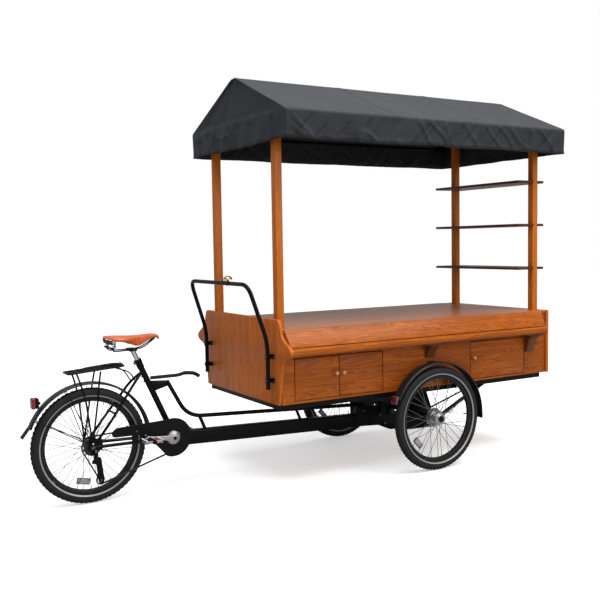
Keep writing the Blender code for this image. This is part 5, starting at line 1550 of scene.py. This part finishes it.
kept = {
    "front_chassis": framePaint, "cabinet_floor": woodAlong, "counter_top": woodCounter,
    "side_panel_right": woodSide, "side_panel_left": woodSide, "front_end_panel": woodEnd,
}
for name, look in kept.items():
    refinish(name, look)

# floor, light and camera
print("floor, light and camera")
stageLook = {"sky": 0.42, "sun": 0.7, "softness": 30, "sunWay": (-0.22, 0.52, -1.0), "key": 70.0, "top": 420.0,
             "floor": (0.95, 0.95, 0.95), "bounce": (0.42, 0.42, 0.42), "glow": 0.45}

floorMesh = bmesh.new()
bmesh.ops.create_grid(floorMesh, x_segments=1, y_segments=1, size=40.0)
floorData = bpy.data.meshes.new("floor")
floorMesh.to_mesh(floorData)
floorMesh.free()
floor = bpy.data.objects.new("floor", floorData)
bpy.context.scene.collection.objects.link(floor)
floorFinish, floorTree, floorShader = blankMaterial("pale_floor")
floorShader.inputs["Base Color"].default_value = (*stageLook["floor"], 1)
floorShader.inputs["Roughness"].default_value = 0.9
floorShader.inputs["Specular IOR Level"].default_value = 0.2
# a pale floor to the eye that throws less light back on the object
dimmer = put(floorTree, "ShaderNodeBsdfDiffuse", Color=(*stageLook["bounce"], 1))
floorRays = put(floorTree, "ShaderNodeLightPath")
floorMix = put(floorTree, "ShaderNodeMixShader")
join(floorTree, floorRays, "Is Camera Ray", floorMix, 0)
join(floorTree, dimmer, 0, floorMix, 1)
glow = put(floorTree, "ShaderNodeEmission", Color=(1, 1, 1, 1), Strength=stageLook["glow"])
paleSum = put(floorTree, "ShaderNodeAddShader")
join(floorTree, floorShader, 0, paleSum, 0)
join(floorTree, glow, 0, paleSum, 1)
# seen from below the floor is clear
side = put(floorTree, "ShaderNodeNewGeometry")
clear = put(floorTree, "ShaderNodeBsdfTransparent", Color=(1, 1, 1, 1))
faceMix = put(floorTree, "ShaderNodeMixShader")
join(floorTree, side, "Backfacing", faceMix, 0)
join(floorTree, paleSum, 0, faceMix, 1)
join(floorTree, clear, 0, faceMix, 2)
join(floorTree, faceMix, 0, floorMix, 2)
join(floorTree, floorMix, 0, next(n for n in floorTree.nodes if n.type == "OUTPUT_MATERIAL"), "Surface")
floorData.materials.append(floorFinish)

# the sky the lens sees is white; what lights the object is dimmer
world = bpy.data.worlds.new("studio")
world.use_nodes = True
skyTree = world.node_tree
seen = skyTree.nodes["Background"]
seen.inputs["Color"].default_value = (1, 1, 1, 1)
lit = put(skyTree, "ShaderNodeBackground", Color=(0.96, 0.98, 1.0, 1), Strength=stageLook["sky"])
rays = put(skyTree, "ShaderNodeLightPath")
both = put(skyTree, "ShaderNodeMixShader")
join(skyTree, rays, "Is Camera Ray", both, 0)
join(skyTree, lit, 0, both, 1)
join(skyTree, seen, 0, both, 2)
join(skyTree, both, 0, skyTree.nodes["World Output"], "Surface")
bpy.context.scene.world = world


def softLight(name, spot, aim, size, power, colour=(1, 1, 1)):
    data = bpy.data.lights.new(name, "AREA")
    data.shape = "RECTANGLE"
    data.size, data.size_y = size
    data.energy = power
    data.color = colour
    lamp = bpy.data.objects.new(name, data)
    bpy.context.scene.collection.objects.link(lamp)
    way = (Vector(aim) - Vector(spot)).to_track_quat("-Z", "Y").to_matrix().to_4x4()
    lamp.matrix_world = Matrix.Translation(spot) @ way
    return lamp


sunData = bpy.data.lights.new("sun", "SUN")
sunData.energy = stageLook["sun"]
sunData.angle = math.radians(stageLook["softness"])
sunData.color = (1.0, 0.985, 0.96)
sun = bpy.data.objects.new("sun", sunData)
bpy.context.scene.collection.objects.link(sun)
sun.matrix_world = Vector(stageLook["sunWay"]).to_track_quat("-Z", "Y").to_matrix().to_4x4()
softLight("top_light", (0.2, -1.2, 6.2), (0.1, 0.0, 1.0), (7.0, 5.5), stageLook["top"])
softLight("side_light", (1.6, -5.2, 2.6), (0.4, 0.0, 0.8), (3.4, 2.2), stageLook["key"], (1.0, 0.985, 0.96))

cameraData = bpy.data.cameras.new("camera")
cameraData.lens = 49.95
cameraData.sensor_width = 36.0
camera = bpy.data.objects.new("camera", cameraData)
bpy.context.scene.collection.objects.link(camera)
viewFacts = {"spot": (cabinetRear - 2.1628, -4.3228, 1.3562), "azimuth": 30.80, "down": 3.83, "roll": -0.92}
azimuth, down = math.radians(viewFacts["azimuth"]), math.radians(viewFacts["down"])
look = Vector((math.sin(azimuth) * math.cos(down), math.cos(azimuth) * math.cos(down), -math.sin(down)))
camera.matrix_world = (Matrix.Translation(viewFacts["spot"]) @ look.to_track_quat("-Z", "Y").to_matrix().to_4x4()
                       @ Matrix.Rotation(math.radians(viewFacts["roll"]), 4, "Z"))
bpy.context.scene.camera = camera
bpy.context.scene.view_settings.view_transform = "Standard"
bpy.context.scene.view_settings.look = "None"
